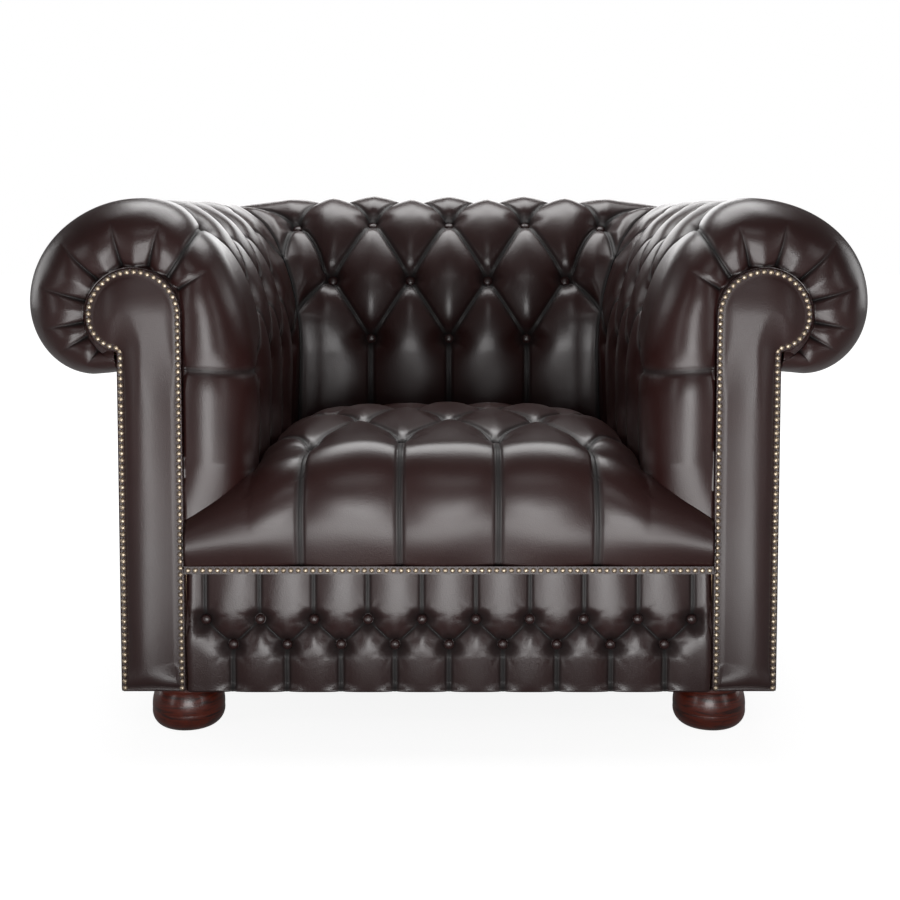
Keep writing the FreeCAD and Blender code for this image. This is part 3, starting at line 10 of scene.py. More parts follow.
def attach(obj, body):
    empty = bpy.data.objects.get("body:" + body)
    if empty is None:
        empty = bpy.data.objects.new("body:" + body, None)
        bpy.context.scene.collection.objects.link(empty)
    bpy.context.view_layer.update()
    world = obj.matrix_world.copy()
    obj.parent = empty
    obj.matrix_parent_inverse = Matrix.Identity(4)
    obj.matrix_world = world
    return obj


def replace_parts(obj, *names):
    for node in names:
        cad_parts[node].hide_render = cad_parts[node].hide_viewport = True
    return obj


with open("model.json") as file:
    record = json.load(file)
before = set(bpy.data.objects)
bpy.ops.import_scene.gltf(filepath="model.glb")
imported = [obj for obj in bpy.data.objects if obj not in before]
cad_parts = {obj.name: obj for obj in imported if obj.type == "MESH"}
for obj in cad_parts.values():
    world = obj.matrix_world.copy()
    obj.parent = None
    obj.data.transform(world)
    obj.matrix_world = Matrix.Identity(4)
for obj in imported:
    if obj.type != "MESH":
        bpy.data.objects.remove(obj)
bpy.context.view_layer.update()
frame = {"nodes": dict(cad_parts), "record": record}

nodes = frame["nodes"]
fineness = 1.0  # a larger value gives a coarser leather mesh
print("frame loaded:", len(nodes), "CAD nodes")


# shader helpers and shared effects

def feed(tree, socket, value):
    # links what another node puts out, and sets a plain value
    if isinstance(value, bpy.types.NodeSocket):
        tree.links.new(value, socket)
    else:
        socket.default_value = (*value, 1) if socket.type == "RGBA" else value


def addNode(tree, kind, *values, **settings):
    # values go to the first sockets in order, settings to properties or to sockets by name
    node = tree.nodes.new(kind)
    for key, value in settings.items():
        if key in node.inputs:
            feed(tree, node.inputs[key], value)
        else:
            setattr(node, key, value)
    for socket, value in zip(node.inputs, values):
        feed(tree, socket, value)
    return node


def mathNode(tree, operation, *values):
    return addNode(tree, "ShaderNodeMath", *values, operation=operation).outputs[0]


def noise(tree, place, scale, detail, **settings):
    return addNode(tree, "ShaderNodeTexNoise", Vector=place, Scale=scale, Detail=detail, **settings).outputs


def mixColour(tree, factor, a, b):
    node = addNode(tree, "ShaderNodeMix", factor, data_type="RGBA")
    feed(tree, node.inputs[6], a)
    feed(tree, node.inputs[7], b)
    return node.outputs[2]


def newGroup(name, inputs, outputs):
    # an effect that reads a place on the object and puts out plain values
    tree = bpy.data.node_groups.new(name, "ShaderNodeTree")
    for label, value in {"Vector": (0, 0, 0), **inputs}.items():
        kind = "NodeSocketVector" if isinstance(value, tuple) else "NodeSocketFloat"
        socket = tree.interface.new_socket(name=label, in_out="INPUT", socket_type=kind)
        socket.default_value = value
    for label in outputs:
        tree.interface.new_socket(name=label, in_out="OUTPUT", socket_type="NodeSocketFloat")
    return tree, tree.nodes.new("NodeGroupInput").outputs, tree.nodes.new("NodeGroupOutput").inputs


def leatherGrain():
    # pebbled hide: fine cells broken up by a softer, larger pull
    tree, start, end = newGroup("leatherGrain", {"Pebble": 900.0}, ("Height", "Mottle"))
    place = start["Vector"]
    warp = noise(tree, place, 160.0, 2.0)
    pulled = addNode(tree, "ShaderNodeVectorMath", warp["Color"], (0.0016,) * 3, place, operation="MULTIPLY_ADD")
    cells = addNode(tree, "ShaderNodeTexVoronoi", feature="SMOOTH_F1", Vector=pulled.outputs[0],
                    Scale=start["Pebble"], Smoothness=0.45)
    pores = noise(tree, place, 420.0, 3.0, Roughness=0.6)
    mottle = noise(tree, place, 14.0, 4.0, Roughness=0.6)
    body = mathNode(tree, "MULTIPLY", cells.outputs["Distance"], -0.6)
    feed(tree, end["Height"], mathNode(tree, "MULTIPLY_ADD", pores["Fac"], 0.45, body))
    feed(tree, end["Mottle"], mottle["Fac"])
    return tree


def threadWeave():
    # over-and-under threads of hessian, webbing and lining cloth
    tree, start, end = newGroup("threadWeave", {"Threads": 800.0}, ("Height", "Gap"))
    scaled = addNode(tree, "ShaderNodeVectorMath", operation="SCALE", Vector=start["Vector"], Scale=start["Threads"])
    x, y, z = addNode(tree, "ShaderNodeSeparateXYZ", scaled.outputs[0]).outputs
    warp, weft = (mathNode(tree, "ABSOLUTE", mathNode(tree, "SINE", mathNode(tree, "ADD", way, z))) for way in (x, y))
    feed(tree, end["Height"], mathNode(tree, "MAXIMUM", warp, weft))
    feed(tree, end["Gap"], mathNode(tree, "SUBTRACT", 1.0, mathNode(tree, "MULTIPLY", warp, weft)))
    return tree


def woodRings():
    # long stretched grain with finer pores
    tree, start, end = newGroup("woodRings", {"Stretch": (1, 1, 1)}, ("Grain", "Pores"))
    long = addNode(tree, "ShaderNodeVectorMath", start["Vector"], start["Stretch"], operation="MULTIPLY").outputs[0]
    bands = noise(tree, long, 5.0, 5.0, Roughness=0.62, Distortion=0.6)
    rings = mathNode(tree, "MULTIPLY", bands["Fac"], 6.0)
    feed(tree, end["Grain"], mathNode(tree, "PINGPONG", rings, 1.0))
    feed(tree, end["Pores"], noise(tree, long, 38.0, 3.0, Roughness=0.7)["Fac"])
    return tree


def dustAndWear():
    # a slow patchiness that dulls or darkens a surface, with a finer speckle
    tree, start, end = newGroup("dustAndWear", {"Scale": 30.0}, ("Patch", "Speckle"))
    feed(tree, end["Patch"], noise(tree, start["Vector"], start["Scale"], 4.0, Roughness=0.65)["Fac"])
    feed(tree, end["Speckle"], noise(tree, start["Vector"], 900.0, 2.0)["Fac"])
    return tree


grainGroup, weaveGroup, ringsGroup, wearGroup = leatherGrain(), threadWeave(), woodRings(), dustAndWear()


def objectPlace(tree):
    return tree.nodes.new("ShaderNodeTexCoord").outputs["Object"]


def useGroup(tree, group, **values):
    return addNode(tree, "ShaderNodeGroup", node_tree=group, Vector=objectPlace(tree), **values).outputs


def startMaterial(name, **values):
    # the values are the shader's own, with a low line for each space in a socket's name
    material = bpy.data.materials.new(name)
    material.use_nodes = True
    tree = material.node_tree
    for key, value in values.items():
        feed(tree, tree.nodes["Principled BSDF"].inputs[key.replace("_", " ")], value)
    return material, tree


def dress(material, tone, rough, height, strength, distance):
    # strength and distance are those of the bump that height gives
    tree = material.node_tree
    bump = addNode(tree, "ShaderNodeBump", Height=height, Strength=strength, Distance=distance)
    shader = tree.nodes["Principled BSDF"].inputs
    feed(tree, shader["Base Color"], tone)
    feed(tree, shader["Roughness"], rough)
    feed(tree, shader["Normal"], bump.outputs["Normal"])
    return material


# finishes

leatherLook = {
    "deep": (0.0024, 0.0010, 0.0010),  # painted shade down in the folds and button pockets
    "main": (0.0135, 0.0040, 0.0037),
    "rubbed": (0.0250, 0.0072, 0.0063),  # warmer, where the hide is pulled tight
    "mottle": 0.9, "patches": 0.35,  # how much the rubbed tone shows, and how much it is broken up again
    "roughness": 0.33, "patchRoughness": 0.16, "foldRoughness": 0.4,
    "pebble": 620.0, "bump": 0.30,
}


def makeLeather(name, withFoldShade, roughness=None, pebble=None):
    look = leatherLook
    material, tree = startMaterial(name, Coat_Weight=0.1, Coat_Roughness=0.24, Specular_IOR_Level=0.46)
    grain = useGroup(tree, grainGroup, Pebble=pebble or look["pebble"])
    wear = useGroup(tree, wearGroup, Scale=7.0)
    tone = mixColour(tree, mathNode(tree, "MULTIPLY", grain["Mottle"], look["mottle"]), look["main"], look["rubbed"])
    tone = mixColour(tree, mathNode(tree, "MULTIPLY", wear["Patch"], look["patches"]), tone, look["main"])
    least = (roughness or look["roughness"]) - look["patchRoughness"] / 2
    rough = mathNode(tree, "MULTIPLY_ADD", wear["Patch"], look["patchRoughness"], least)
    # folds and button pockets are painted darker as shade, and made rougher
    if withFoldShade:
        fold = addNode(tree, "ShaderNodeAttribute", attribute_name="fold")
        shadeInFold = mathNode(tree, "MINIMUM", fold.outputs["Fac"], 1.0)
        tone = mixColour(tree, shadeInFold, tone, look["deep"])
        rough = mathNode(tree, "MULTIPLY_ADD", shadeInFold, look["foldRoughness"], rough)
    return dress(material, tone, rough, grain["Height"], look["bump"], 0.0006)


def makeWood(name, dark, light, roughness, stretch, coat):
    material, tree = startMaterial(name, Coat_Weight=coat, Coat_Roughness=0.12)
    rings = useGroup(tree, ringsGroup, Stretch=stretch)
    tone = mixColour(tree, rings["Grain"], dark, light)
    tone = mixColour(tree, mathNode(tree, "MULTIPLY", rings["Pores"], 0.4), tone, dark)
    rough = mathNode(tree, "MULTIPLY_ADD", rings["Pores"], 0.15, roughness - 0.07)
    return dress(material, tone, rough, rings["Pores"], 0.12, 0.0004)


def makeMetal(name, bright, dull, roughness, scale):
    material, tree = startMaterial(name, Metallic=1.0)
    wear = useGroup(tree, wearGroup, Scale=scale)
    contrast = mathNode(tree, "MULTIPLY_ADD", wear["Patch"], 2.4, -0.75)
    contrast = mathNode(tree, "MINIMUM", mathNode(tree, "MAXIMUM", contrast, 0.0), 1.0)
    rough = mathNode(tree, "MULTIPLY_ADD", contrast, 0.2, roughness)
    return dress(material, mixColour(tree, contrast, bright, dull), rough, wear["Speckle"], 0.08, 0.0003)


def makeCloth(name, dark, light, threads, roughness=0.9):
    material, tree = startMaterial(name, Sheen_Weight=0.25, Specular_IOR_Level=0.2)
    weave = useGroup(tree, weaveGroup, Threads=threads)
    wear = useGroup(tree, wearGroup, Scale=40.0)
    tone = mixColour(tree, weave["Gap"], light, dark)
    tone = mixColour(tree, mathNode(tree, "MULTIPLY", wear["Patch"], 0.4), tone, dark)
    rough = mathNode(tree, "MULTIPLY_ADD", wear["Speckle"], 0.1, roughness - 0.05)
    return dress(material, tone, rough, weave["Height"], 0.5, 0.0006)


def makeFoam(name, fresh, aged):
    material, tree = startMaterial(name, Specular_IOR_Level=0.2)
    cells = addNode(tree, "ShaderNodeTexVoronoi", Vector=objectPlace(tree), Scale=700.0)
    wear = useGroup(tree, wearGroup, Scale=20.0)
    rough = mathNode(tree, "MULTIPLY_ADD", wear["Speckle"], 0.1, 0.85)
    return dress(material, mixColour(tree, wear["Patch"], fresh, aged), rough, cells.outputs["Distance"], 0.6, 0.001)


finishes = {
    "leather": makeLeather("oxbloodLeather", True),
    "panelLeather": makeLeather("panelLeather", False, roughness=0.42),
    "buttonLeather": makeLeather("buttonLeather", False, roughness=0.30, pebble=1100.0),
    # wood: dark and light bands, roughness, stretch of the grain, coat
    "foot_wood": makeWood("polishedMahogany", (0.0110, 0.0010, 0.0004), (0.110, 0.0115, 0.0020), 0.32,
                          (3.0, 3.0, 26.0), 0.2),
    "beech": makeWood("plainBeech", (0.36, 0.21, 0.11), (0.62, 0.42, 0.25), 0.6, (9.0, 2.0, 9.0), 0.0),
    "bent_board": makeWood("bentBoard", (0.21, 0.13, 0.075), (0.36, 0.25, 0.15), 0.75, (14.0, 2.0, 14.0), 0.0),
    # metal: bright and dull patches, roughness, scale of the patches
    "aged_brass": makeMetal("agedBrass", (0.58, 0.49, 0.38), (0.30, 0.23, 0.16), 0.38, 330.0),
    "spring_steel": makeMetal("springSteel", (0.33, 0.33, 0.34), (0.12, 0.11, 0.10), 0.35, 60.0),
    "zinc_steel": makeMetal("zincSteel", (0.62, 0.63, 0.62), (0.38, 0.37, 0.33), 0.3, 90.0),
    # cloth: colour in the gaps and of the threads, and threads per metre times pi
    "hessian": makeCloth("juteHessian", (0.20, 0.13, 0.07), (0.46, 0.34, 0.20), 2100.0),
    "webbing": makeCloth("juteWebbing", (0.16, 0.10, 0.05), (0.40, 0.28, 0.15), 1500.0),
    "dust_cloth": makeCloth("dustCloth", (0.006, 0.006, 0.006), (0.03, 0.03, 0.03), 3000.0),
    "foam": makeFoam("paddingFoam", (0.74, 0.66, 0.42), (0.62, 0.52, 0.3)),
}


def setFinish(node, finish):
    nodes[node].data.materials.clear()
    nodes[node].data.materials.append(finishes[finish])


for part in frame["record"]["subparts"]:
    if part["node"] in nodes and part["material_slot"] in finishes:
        setFinish(part["node"], part["material_slot"])
print("materials made")


# the roll's section and how it is laid along arms and back, in millimetres

def linePoints(start, end, steps):
    return list(zip(np.linspace(start[0], end[0], steps + 1), np.linspace(start[1], end[1], steps + 1)))


def arcPoints(cx, cz, rx, rz, start, end, steps=60):
    turn = np.radians(np.linspace(start, end, steps + 1))[1:]
    return list(zip(cx + rx * np.cos(turn), cz + rz * np.sin(turn)))


class Profile:
    # a planar outline that is read by the distance along it
    def __init__(self, points):
        self.points = np.array(points, float)
        steps = np.linalg.norm(np.diff(self.points, axis=0), axis=1)
        self.run = np.concatenate([[0], np.cumsum(steps)])
        self.length = self.run[-1]

    def at(self, run):
        return np.interp(run, self.run, self.points[:, 0]), np.interp(run, self.run, self.points[:, 1])

    def where(self, test):
        return float(next(r for r, (a, b) in zip(self.run, self.points) if test(a, b)))


rollShape = {
    # points of the section, from the middle of the chair and above the floor
    "tail": (262, 257), "bulge": (255, 450), "crest": (401, 705), "outer": (553, 568),
    "under": (468, 472), "tuck": (428, 476), "scroll": (405, 553), "scrollRadius": 62,
    "liningX": 428.5, "liningZ": 258,  # ends of the plain side, on the board and at the seat
    "rows": (464, 568, 671), "rowOver": 128, "tuft": 134,  # button rows, the last one past the crest
    # front end: the ring of leather round the facing, and the rounding back to the full section
    "ring": 62.5, "ringY": -442.5, "notch": (420.55, 47.0), "notchStop": 427.6,
    "dome": 74.0, "domeRun": 116.0, "domeFull": 2.4, "domeSwell": 8.0, "domeLow": 300, "domeOver": 60,
    # corner to the back, in plan
    "fan": (215, 115), "fanRun": 190.0, "innerCorner": 40, "outerCorner": 110, "lowCorner": 8,
    "panel": 427, "widest": 560, "backRise": 12,
}


def makeRoll():
    shape = rollShape
    (inX, inZ), (topX, topZ), (outX, outZ), (lowX, lowZ) = (shape[n] for n in ("bulge", "crest", "outer", "under"))
    points = linePoints(shape["tail"], shape["bulge"], 12)
    points += arcPoints(topX, inZ, topX - inX, topZ - inZ, 180, 90)
    points += arcPoints(topX, outZ, outX - topX, topZ - outZ, 90, 0)
    points += arcPoints(lowX, outZ, outX - lowX, outZ - lowZ, 0, -90)
    return Profile(points + [shape["tuck"]])


roll = makeRoll()
rowLow, rowMid, rowHigh = (roll.where(lambda a, z: z >= level) for level in rollShape["rows"])
rowOver = rowHigh + rollShape["rowOver"]
tuft = rollShape["tuft"]
straightStart = rollShape["domeRun"]
armFull = rollShape["ringY"] + rollShape["dome"]
straightRun = rollShape["fan"][1] - armFull
armEnd = straightStart + straightRun + rollShape["fanRun"]
backHalf, backFan = rollShape["fan"][0], rollShape["fanRun"]
backEnd = 2 * (backHalf + backFan)


def armRun(y):
    return straightStart + (y - armFull)


def backRun(x):
    return backFan + backHalf - x


def cornerPlace(across, up, turn):
    # a point of the section turned about the inner corner: a square plan with a rounded corner
    shape = rollShape
    inner, outer, low = shape["innerCorner"], shape["outerCorner"], shape["lowCorner"]
    share = (across - shape["panel"]) / (shape["widest"] - shape["panel"])
    radius = inner + (outer - inner) * (across - shape["bulge"][0]) / (shape["widest"] - shape["bulge"][0])
    under = np.maximum(low + (outer - low) * share, low)
    radius = np.where((up < shape["outer"][1]) & (across > shape["scroll"][0]), under, radius)
    reach = across - shape["fan"][0]
    radius = np.maximum(np.minimum(radius, reach), 0)
    start = reach - radius
    ux, uy = np.cos(turn), np.sin(turn)
    middle = start * (ux + uy)
    along = middle + np.sqrt(np.maximum(middle**2 - 2 * start**2 + radius**2, 0))
    along = np.where(reach * uy <= start * ux, reach / np.maximum(ux, 1e-6), along)
    along = np.where(reach * ux <= start * uy, reach / np.maximum(uy, 1e-6), along)
    return shape["fan"][0] + along * ux, shape["fan"][1] + along * uy


def armPlace(across, up, ringX, ringZ, run):
    # places a section's points along the arm: rounded front, straight length, turned corner
    shape = rollShape
    swell = np.sin(np.clip(run / straightStart, 0, 1) * math.pi / 2)
    # it swells forward above the seat's corner only
    free = np.clip((up - shape["domeLow"]) / shape["domeOver"], 0, 1)
    full = 2 + (shape["domeFull"] - 2) * free
    depth = shape["dome"] * (1 - np.maximum(1 - swell**full, 0) ** (1 / full))
    depth = depth - 4 * shape["domeSwell"] * free * swell * (1 - swell)
    x = ringX + (across - ringX) * swell
    y = shape["ringY"] + depth + np.clip(run - straightStart, 0, straightRun)
    z = ringZ + (up - ringZ) * swell
    turn = np.clip((run - straightStart - straightRun) / shape["fanRun"], 0, 1) * math.pi / 4
    fanX, fanY = cornerPlace(across, up, turn)
    turned = run > straightStart + straightRun
    return np.stack([np.where(turned, fanX, x), np.where(turned, fanY, y), z], -1)


def armSurface(along, run):
    across, up = roll.at(along)
    cx, cz = rollShape["scroll"]
    ring = rollShape["ring"]
    reach = np.maximum(np.hypot(across - cx, up - cz), 1)
    inside = (across < cx) & (up < cz)
    ringX = np.where(inside, cx - ring, cx + (across - cx) * ring / reach)
    ringZ = np.where(inside, up, cz + (up - cz) * ring / reach)
    # under the scroll the ring follows the facing's smaller curve down to its notch
    nx, small = rollShape["notch"]
    reach = np.maximum(np.hypot(across - nx, up - cz), 1)
    below = (up < cz) & (across > cx)
    ringX = np.where(below, np.maximum(nx + (across - nx) * small / reach, rollShape["notchStop"]), ringX)
    ringZ = np.where(below, cz + (up - cz) * small / reach, ringZ)
    return armPlace(across, up, ringX, ringZ, run)


def backPlace(across, up, run, rise=1):
    # from the right-hand mitre round to the left-hand one
    shape = rollShape
    fromEnd = np.minimum(run, backEnd - run)
    side = np.where(run <= backEnd / 2, 1.0, -1.0)
    share = np.clip(fromEnd / backFan, 0, 1)
    fanX, fanY = cornerPlace(across, up, math.pi / 4 + share * math.pi / 4)
    x = np.where(fromEnd < backFan, fanX, backHalf - (fromEnd - backFan))
    y = np.where(fromEnd < backFan, fanY, across - shape["fan"][0] + shape["fan"][1])
    low, high = shape["bulge"][1], shape["crest"][1]
    lift = rise * shape["backRise"] * share * np.maximum((up - low) / (high - low), 0)
    return np.stack([x * side, y, up + lift], -1)


def backSurface(along, run):
    return backPlace(*roll.at(along), run)


def plainSide(part):
    # the section's other side: on the bent board from the tuck round, then down the lining to the seat
    shape = rollShape
    cx, cz = shape["scroll"]
    radius = shape["scrollRadius"] + 1.0
    drop = -math.degrees(math.acos((shape["liningX"] - cx) / radius))
    turn = np.radians(drop + (180 - drop) * np.clip(part / 0.8, 0, 1))
    lining = cz + (shape["liningZ"] - cz) * np.clip((part - 0.8) / 0.2, 0, 1)
    return cx + radius * np.cos(turn), np.where(part > 0.8, lining, cz + radius * np.sin(turn))


def armBacking(part, run):
    across, up = plainSide(part)
    return armPlace(across, up, across, up, run)


def backBacking(part, run):
    return backPlace(*plainSide(part), run, rise=0)


# folds and pockets in the leather

foldLook = {
    "gather": 1.45,  # how strongly the mesh is drawn to the folds
    "power": 5.0,  # how sharply folds and pockets meet
    "broad": 2.1, "ends": 3.0,  # fall of a fold's sides, and of its depth away from the buttons
    "lineDeep": 16.0, "dark": 2.6, "shadeDeep": 9.0,  # the sharp line in a fold, and the width and strength of the shade painted along it
    # the pocket's side, how the shade painted in a pocket fades out, and how a fold fades
    "pocketSide": 1.5, "pocketShade": 0.9, "fade": 1.1,
}


def foldLine(surface, first, last, ends, middle, width, pair=0.0, line=1.6, crispShare=0.17, fade=0.0, via=None):
    # a line on the full surface, with how deep the leather sinks at its ends and halfway, and how wide
    # pair is half the distance between the two lines of a pleat; none gives a single line
    share = np.linspace(0, 1, 24)
    via = via or ((first[0] + last[0]) / 2, (first[1] + last[1]) / 2)
    a, b = (p * (1 - share) ** 2 + 2 * v * share * (1 - share) + q * share**2 for p, v, q in zip(first, via, last))
    return {"line": surface(a, b), "ends": ends, "middle": middle, "width": width, "pair": pair,
            "lineWidth": line, "crispShare": crispShare, "fade": fade}


def nearestOn(points, line):
    # distance to a line, the nearest spot on it, and how far along that lies
    best = np.full(len(points), 1e9)
    near = np.zeros_like(points)
    share = np.zeros(len(points))
    spans = len(line) - 1
    for i in range(spans):
        step = line[i + 1] - line[i]
        size = float(step @ step)
        if size < 1e-9:
            continue
        t = np.clip(((points - line[i]) @ step) / size, 0, 1)
        spot = line[i] + t[:, None] * step
        gap = np.linalg.norm(points - spot, axis=1)
        closer = gap < best
        best[closer] = gap[closer]
        near[closer] = spot[closer]
        share[closer] = (i + t[closer]) / spans
    return best, near, share


def closeTo(points, line, width):
    low, high = line.min(0) - width, line.max(0) + width
    return np.nonzero(np.all((points > low) & (points < high), axis=1))[0]


def drawTowards(points, folds):
    # gathers the mesh towards the folds, so that they come out crisp
    total = np.zeros(len(points))
    moved = np.zeros_like(points)
    for fold in folds:
        width = fold["width"]
        near = closeTo(points, fold["line"], width)
        if not len(near):
            continue
        gap, spot, _ = nearestOn(points[near], fold["line"])
        inside = gap < width
        near, gap, spot = near[inside], gap[inside], spot[inside]
        wanted = width * (gap / width) ** foldLook["gather"]
        weight = 1 / (gap**2 + 2) ** 2
        shift = (spot - points[near]) * (1 - wanted / np.maximum(gap, 1e-6))[:, None]
        total[near] += weight
        moved[near] += shift * weight[:, None]
    return points + moved / np.maximum(total, 1e-12)[:, None]


def sinkInto(points, folds, pockets):
    # how far the leather sinks at each point, and how much painted shade it gets along the folds and in the pockets
    look = foldLook
    depth, lines, foldShade = np.zeros((3, len(points)))
    for fold in folds:
        near = closeTo(points, fold["line"], fold["width"])
        if not len(near):
            continue
        gap, _, share = nearestOn(points[near], fold["line"])
        ends = np.where(share < 0.5, fold["ends"][0], fold["ends"][1])
        along = fold["middle"] + (ends - fold["middle"]) * np.abs(2 * share - 1) ** look["ends"]
        if fold["fade"]:
            along = along * np.clip((1 - share) / fold["fade"], 0, 1) ** look["fade"]
        broad = (1 - np.clip(gap / fold["width"], 0, 1)) ** look["broad"]
        narrow = np.exp(-(((gap - fold["pair"]) / fold["lineWidth"]) ** 2))
        # shade painted along the fold, strongest at its line
        dark = np.exp(-((gap / (fold["pair"] + look["dark"])) ** 2))
        depth[near] += (along * (1 - fold["crispShare"]) * broad) ** look["power"]
        lines[near] = np.maximum(lines[near], np.minimum(along, look["lineDeep"]) * fold["crispShare"] * narrow)
        foldShade[near] = np.maximum(foldShade[near], dark * np.minimum(along / look["shadeDeep"], 1))
    for pocket in pockets:
        near = closeTo(points, pocket["at"][None, :], pocket["width"])
        if not len(near):
            continue
        gap = np.linalg.norm(points[near] - pocket["at"], axis=1)
        reach = np.clip((gap - pocket["seat"]) / (pocket["width"] - pocket["seat"]), 0, 1)
        side = (1 - reach) ** look["pocketSide"]
        depth[near] += (pocket["deep"] * side) ** look["power"]
        lines[near] *= 1 - side
        # shade painted in the button pocket
        foldShade[near] = np.maximum(foldShade[near], np.clip(1 - gap / pocket["width"], 0, 1) ** look["pocketShade"])
    return depth ** (1 / look["power"]) + lines, foldShade


def slowWaves(points, seed, size, height):
    # gentle unevenness of hand-laid padding
    source = np.random.default_rng(seed)
    result = np.zeros(len(points))
    waves = 7
    for _ in range(waves):
        way = source.normal(size=3)
        way /= np.linalg.norm(way)
        result += np.sin(points @ way * (2 * math.pi / (size * source.uniform(0.7, 1.6))) + source.uniform(0, 6.28))
    return result / waves * height * 2


def pulls(points, pockets, seed, height):
    # short wrinkles that run out from each button
    source = np.random.default_rng(seed)
    result = np.zeros(len(points))
    for pocket in pockets:
        count = int(source.integers(6, 9))
        phase = source.uniform(0, 6.28)
        width = pocket["width"]
        near = closeTo(points, pocket["at"][None, :], width * 2)
        if not len(near):
            continue
        arm = points[near] - pocket["at"]
        gap = np.linalg.norm(arm, axis=1)
        angle = np.arctan2(arm @ pocket["up"], arm @ pocket["side"])
        ripple = np.maximum(np.cos(count * angle + phase), 0) ** 2
        result[near] += ripple * np.exp(-(((gap - width * 0.75) / (width * 0.42)) ** 2)) * height
    return result


def pocketAt(surface, first, second, look):
    # the place of a button, with the directions of its surface
    a, b = np.array([first - 1.0, first + 1.0, first, first]), np.array([second, second, second - 1.0, second + 1.0])
    spots = surface(a, b)
    up, side = spots[1] - spots[0], spots[3] - spots[2]
    up, side = up / np.linalg.norm(up), side / np.linalg.norm(side)
    out = np.cross(up, side)
    out /= np.linalg.norm(out)
    return {"at": surface(np.array([first]), np.array([second]))[0], "up": up, "side": side, "out": out,
            "deep": look["pocket"], "width": look["pocketWidth"], "seat": look["pocketSeat"]}


def creasedGrid(surface, firsts, seconds, folds, pockets, seed, out, uneven=0.8, wave=120.0, pull=1.1, tuck=0.0):
    # the full surface with its folds, pockets and unevenness; out is 1 or -1, as the surface's order gives it
    a, b = np.meshgrid(firsts, seconds, indexing="ij")
    grid = surface(a.ravel(), b.ravel()).reshape(*a.shape, 3)
    outward = np.cross(np.gradient(grid, axis=0), np.gradient(grid, axis=1))
    outward *= out / np.maximum(np.linalg.norm(outward, axis=2), 1e-9)[..., None]
    flat = drawTowards(grid.reshape(-1, 3), folds)
    depth, foldShade = sinkInto(flat, folds, pockets)
    depth = depth + slowWaves(flat, seed, wave, uneven) + pulls(flat, pockets, seed + 5, pull)
    if tuck:  # no relief in the last strip, which is turned in and nailed
        depth = depth * np.clip((firsts[-1] - a.ravel()) / tuck, 0, 1)
    shaped = flat - outward.reshape(-1, 3) * depth[:, None]
    return shaped.reshape(grid.shape), foldShade.reshape(a.shape)


# meshes of the leather pieces

def spread(length, step):
    return max(int(round(length / (step * fineness))), 8)


def linkPiece(bm, name, finish):
    mesh = bpy.data.meshes.new(name)
    bm.to_mesh(mesh)
    bm.free()
    piece = bpy.data.objects.new(name, mesh)
    bpy.context.scene.collection.objects.link(piece)
    mesh.materials.append(finishes[finish])
    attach(piece, "root")
    return piece


def bentGrid(points, shadeMarks=None, smoothTo=None):
    # a grid laid over the points; the marks are the shade painted in folds and pockets, which the leather's colour
    # reads
    columns, rows = points.shape[0] - 1, points.shape[1] - 1
    bm = bmesh.new()
    bmesh.ops.create_grid(bm, x_segments=columns, y_segments=rows, size=1.0)
    layer = None if shadeMarks is None else bm.verts.layers.float.new("fold")
    bm.verts.index_update()
    flat = (np.array([v.co[:2] for v in bm.verts]) + 1) / 2
    col = np.rint(flat[:, 0] * columns).astype(int)
    row = np.rint(flat[:, 1] * rows).astype(int)
    for vert, spot in zip(bm.verts, points[col, row] / 1000.0):
        vert.co = spot
    if shadeMarks is not None:
        for vert, mark in zip(bm.verts, shadeMarks[col, row]):
            vert[layer] = mark
    for face in bm.faces:
        face.smooth = smoothTo is None or max(col[v.index] for v in face.verts) <= smoothTo
    return bm


def closeMesh(bm, verts, gap):
    # welds the seam and fills open ends with flat faces
    bmesh.ops.remove_doubles(bm, verts=verts, dist=gap)
    rim = [e for e in bm.edges if e.is_boundary]
    if rim:
        filled = bmesh.ops.holes_fill(bm, edges=rim, sides=0)["faces"]
        for face in filled:
            face.smooth = False
        bmesh.ops.triangulate(bm, faces=filled)
    bmesh.ops.recalc_face_normals(bm, faces=bm.faces)


def closedCover(name, outer, foldShade, inner, side=1):
    # the creased outer face and its plain inner side, as one closed tube
    points = np.concatenate([outer, inner, outer[:1]])
    points[..., 0] *= side
    shadeMarks = np.concatenate([foldShade, np.zeros(inner.shape[:2]), foldShade[:1]])
    bm = bentGrid(points, shadeMarks, len(outer) - 1)
    closeMesh(bm, [v for v in bm.verts if v.is_boundary], 1e-6)
    return linkPiece(bm, name, "leather")


buttonLook = {"large": (8.6, 4.6, 1.6), "small": (6.6, 4.4, 2.6)}  # radius, height, height above its pocket


def addButtons(name, replaced, pockets, size="large", out=1, side=1):
    # one covered button in each pocket, square to the leather there
    radius, tall, stand = (value / 1000 for value in buttonLook[size])
    bm = bmesh.new()
    for pocket in pockets:
        made = bmesh.ops.create_uvsphere(bm, u_segments=24, v_segments=12, radius=1.0)["verts"]
        outward, across = Vector(pocket["out"] * out), Vector(pocket["side"])
        at = Vector(pocket["at"] / 1000) - outward * (pocket["deep"] / 1000 - stand)
        turn = Matrix((across, outward.cross(across), outward)).transposed().to_4x4()
        scale = Matrix.Diagonal((radius, radius, tall, 1))
        bmesh.ops.transform(bm, matrix=Matrix.Translation(at) @ turn @ scale, verts=made)
    bmesh.ops.transform(bm, matrix=Matrix.Diagonal((side, 1, 1, 1)), verts=bm.verts)
    for face in bm.faces:
        face.smooth = True
    bmesh.ops.recalc_face_normals(bm, faces=bm.faces)
    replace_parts(linkPiece(bm, name, "buttonLeather"), replaced)


# the arms and the back

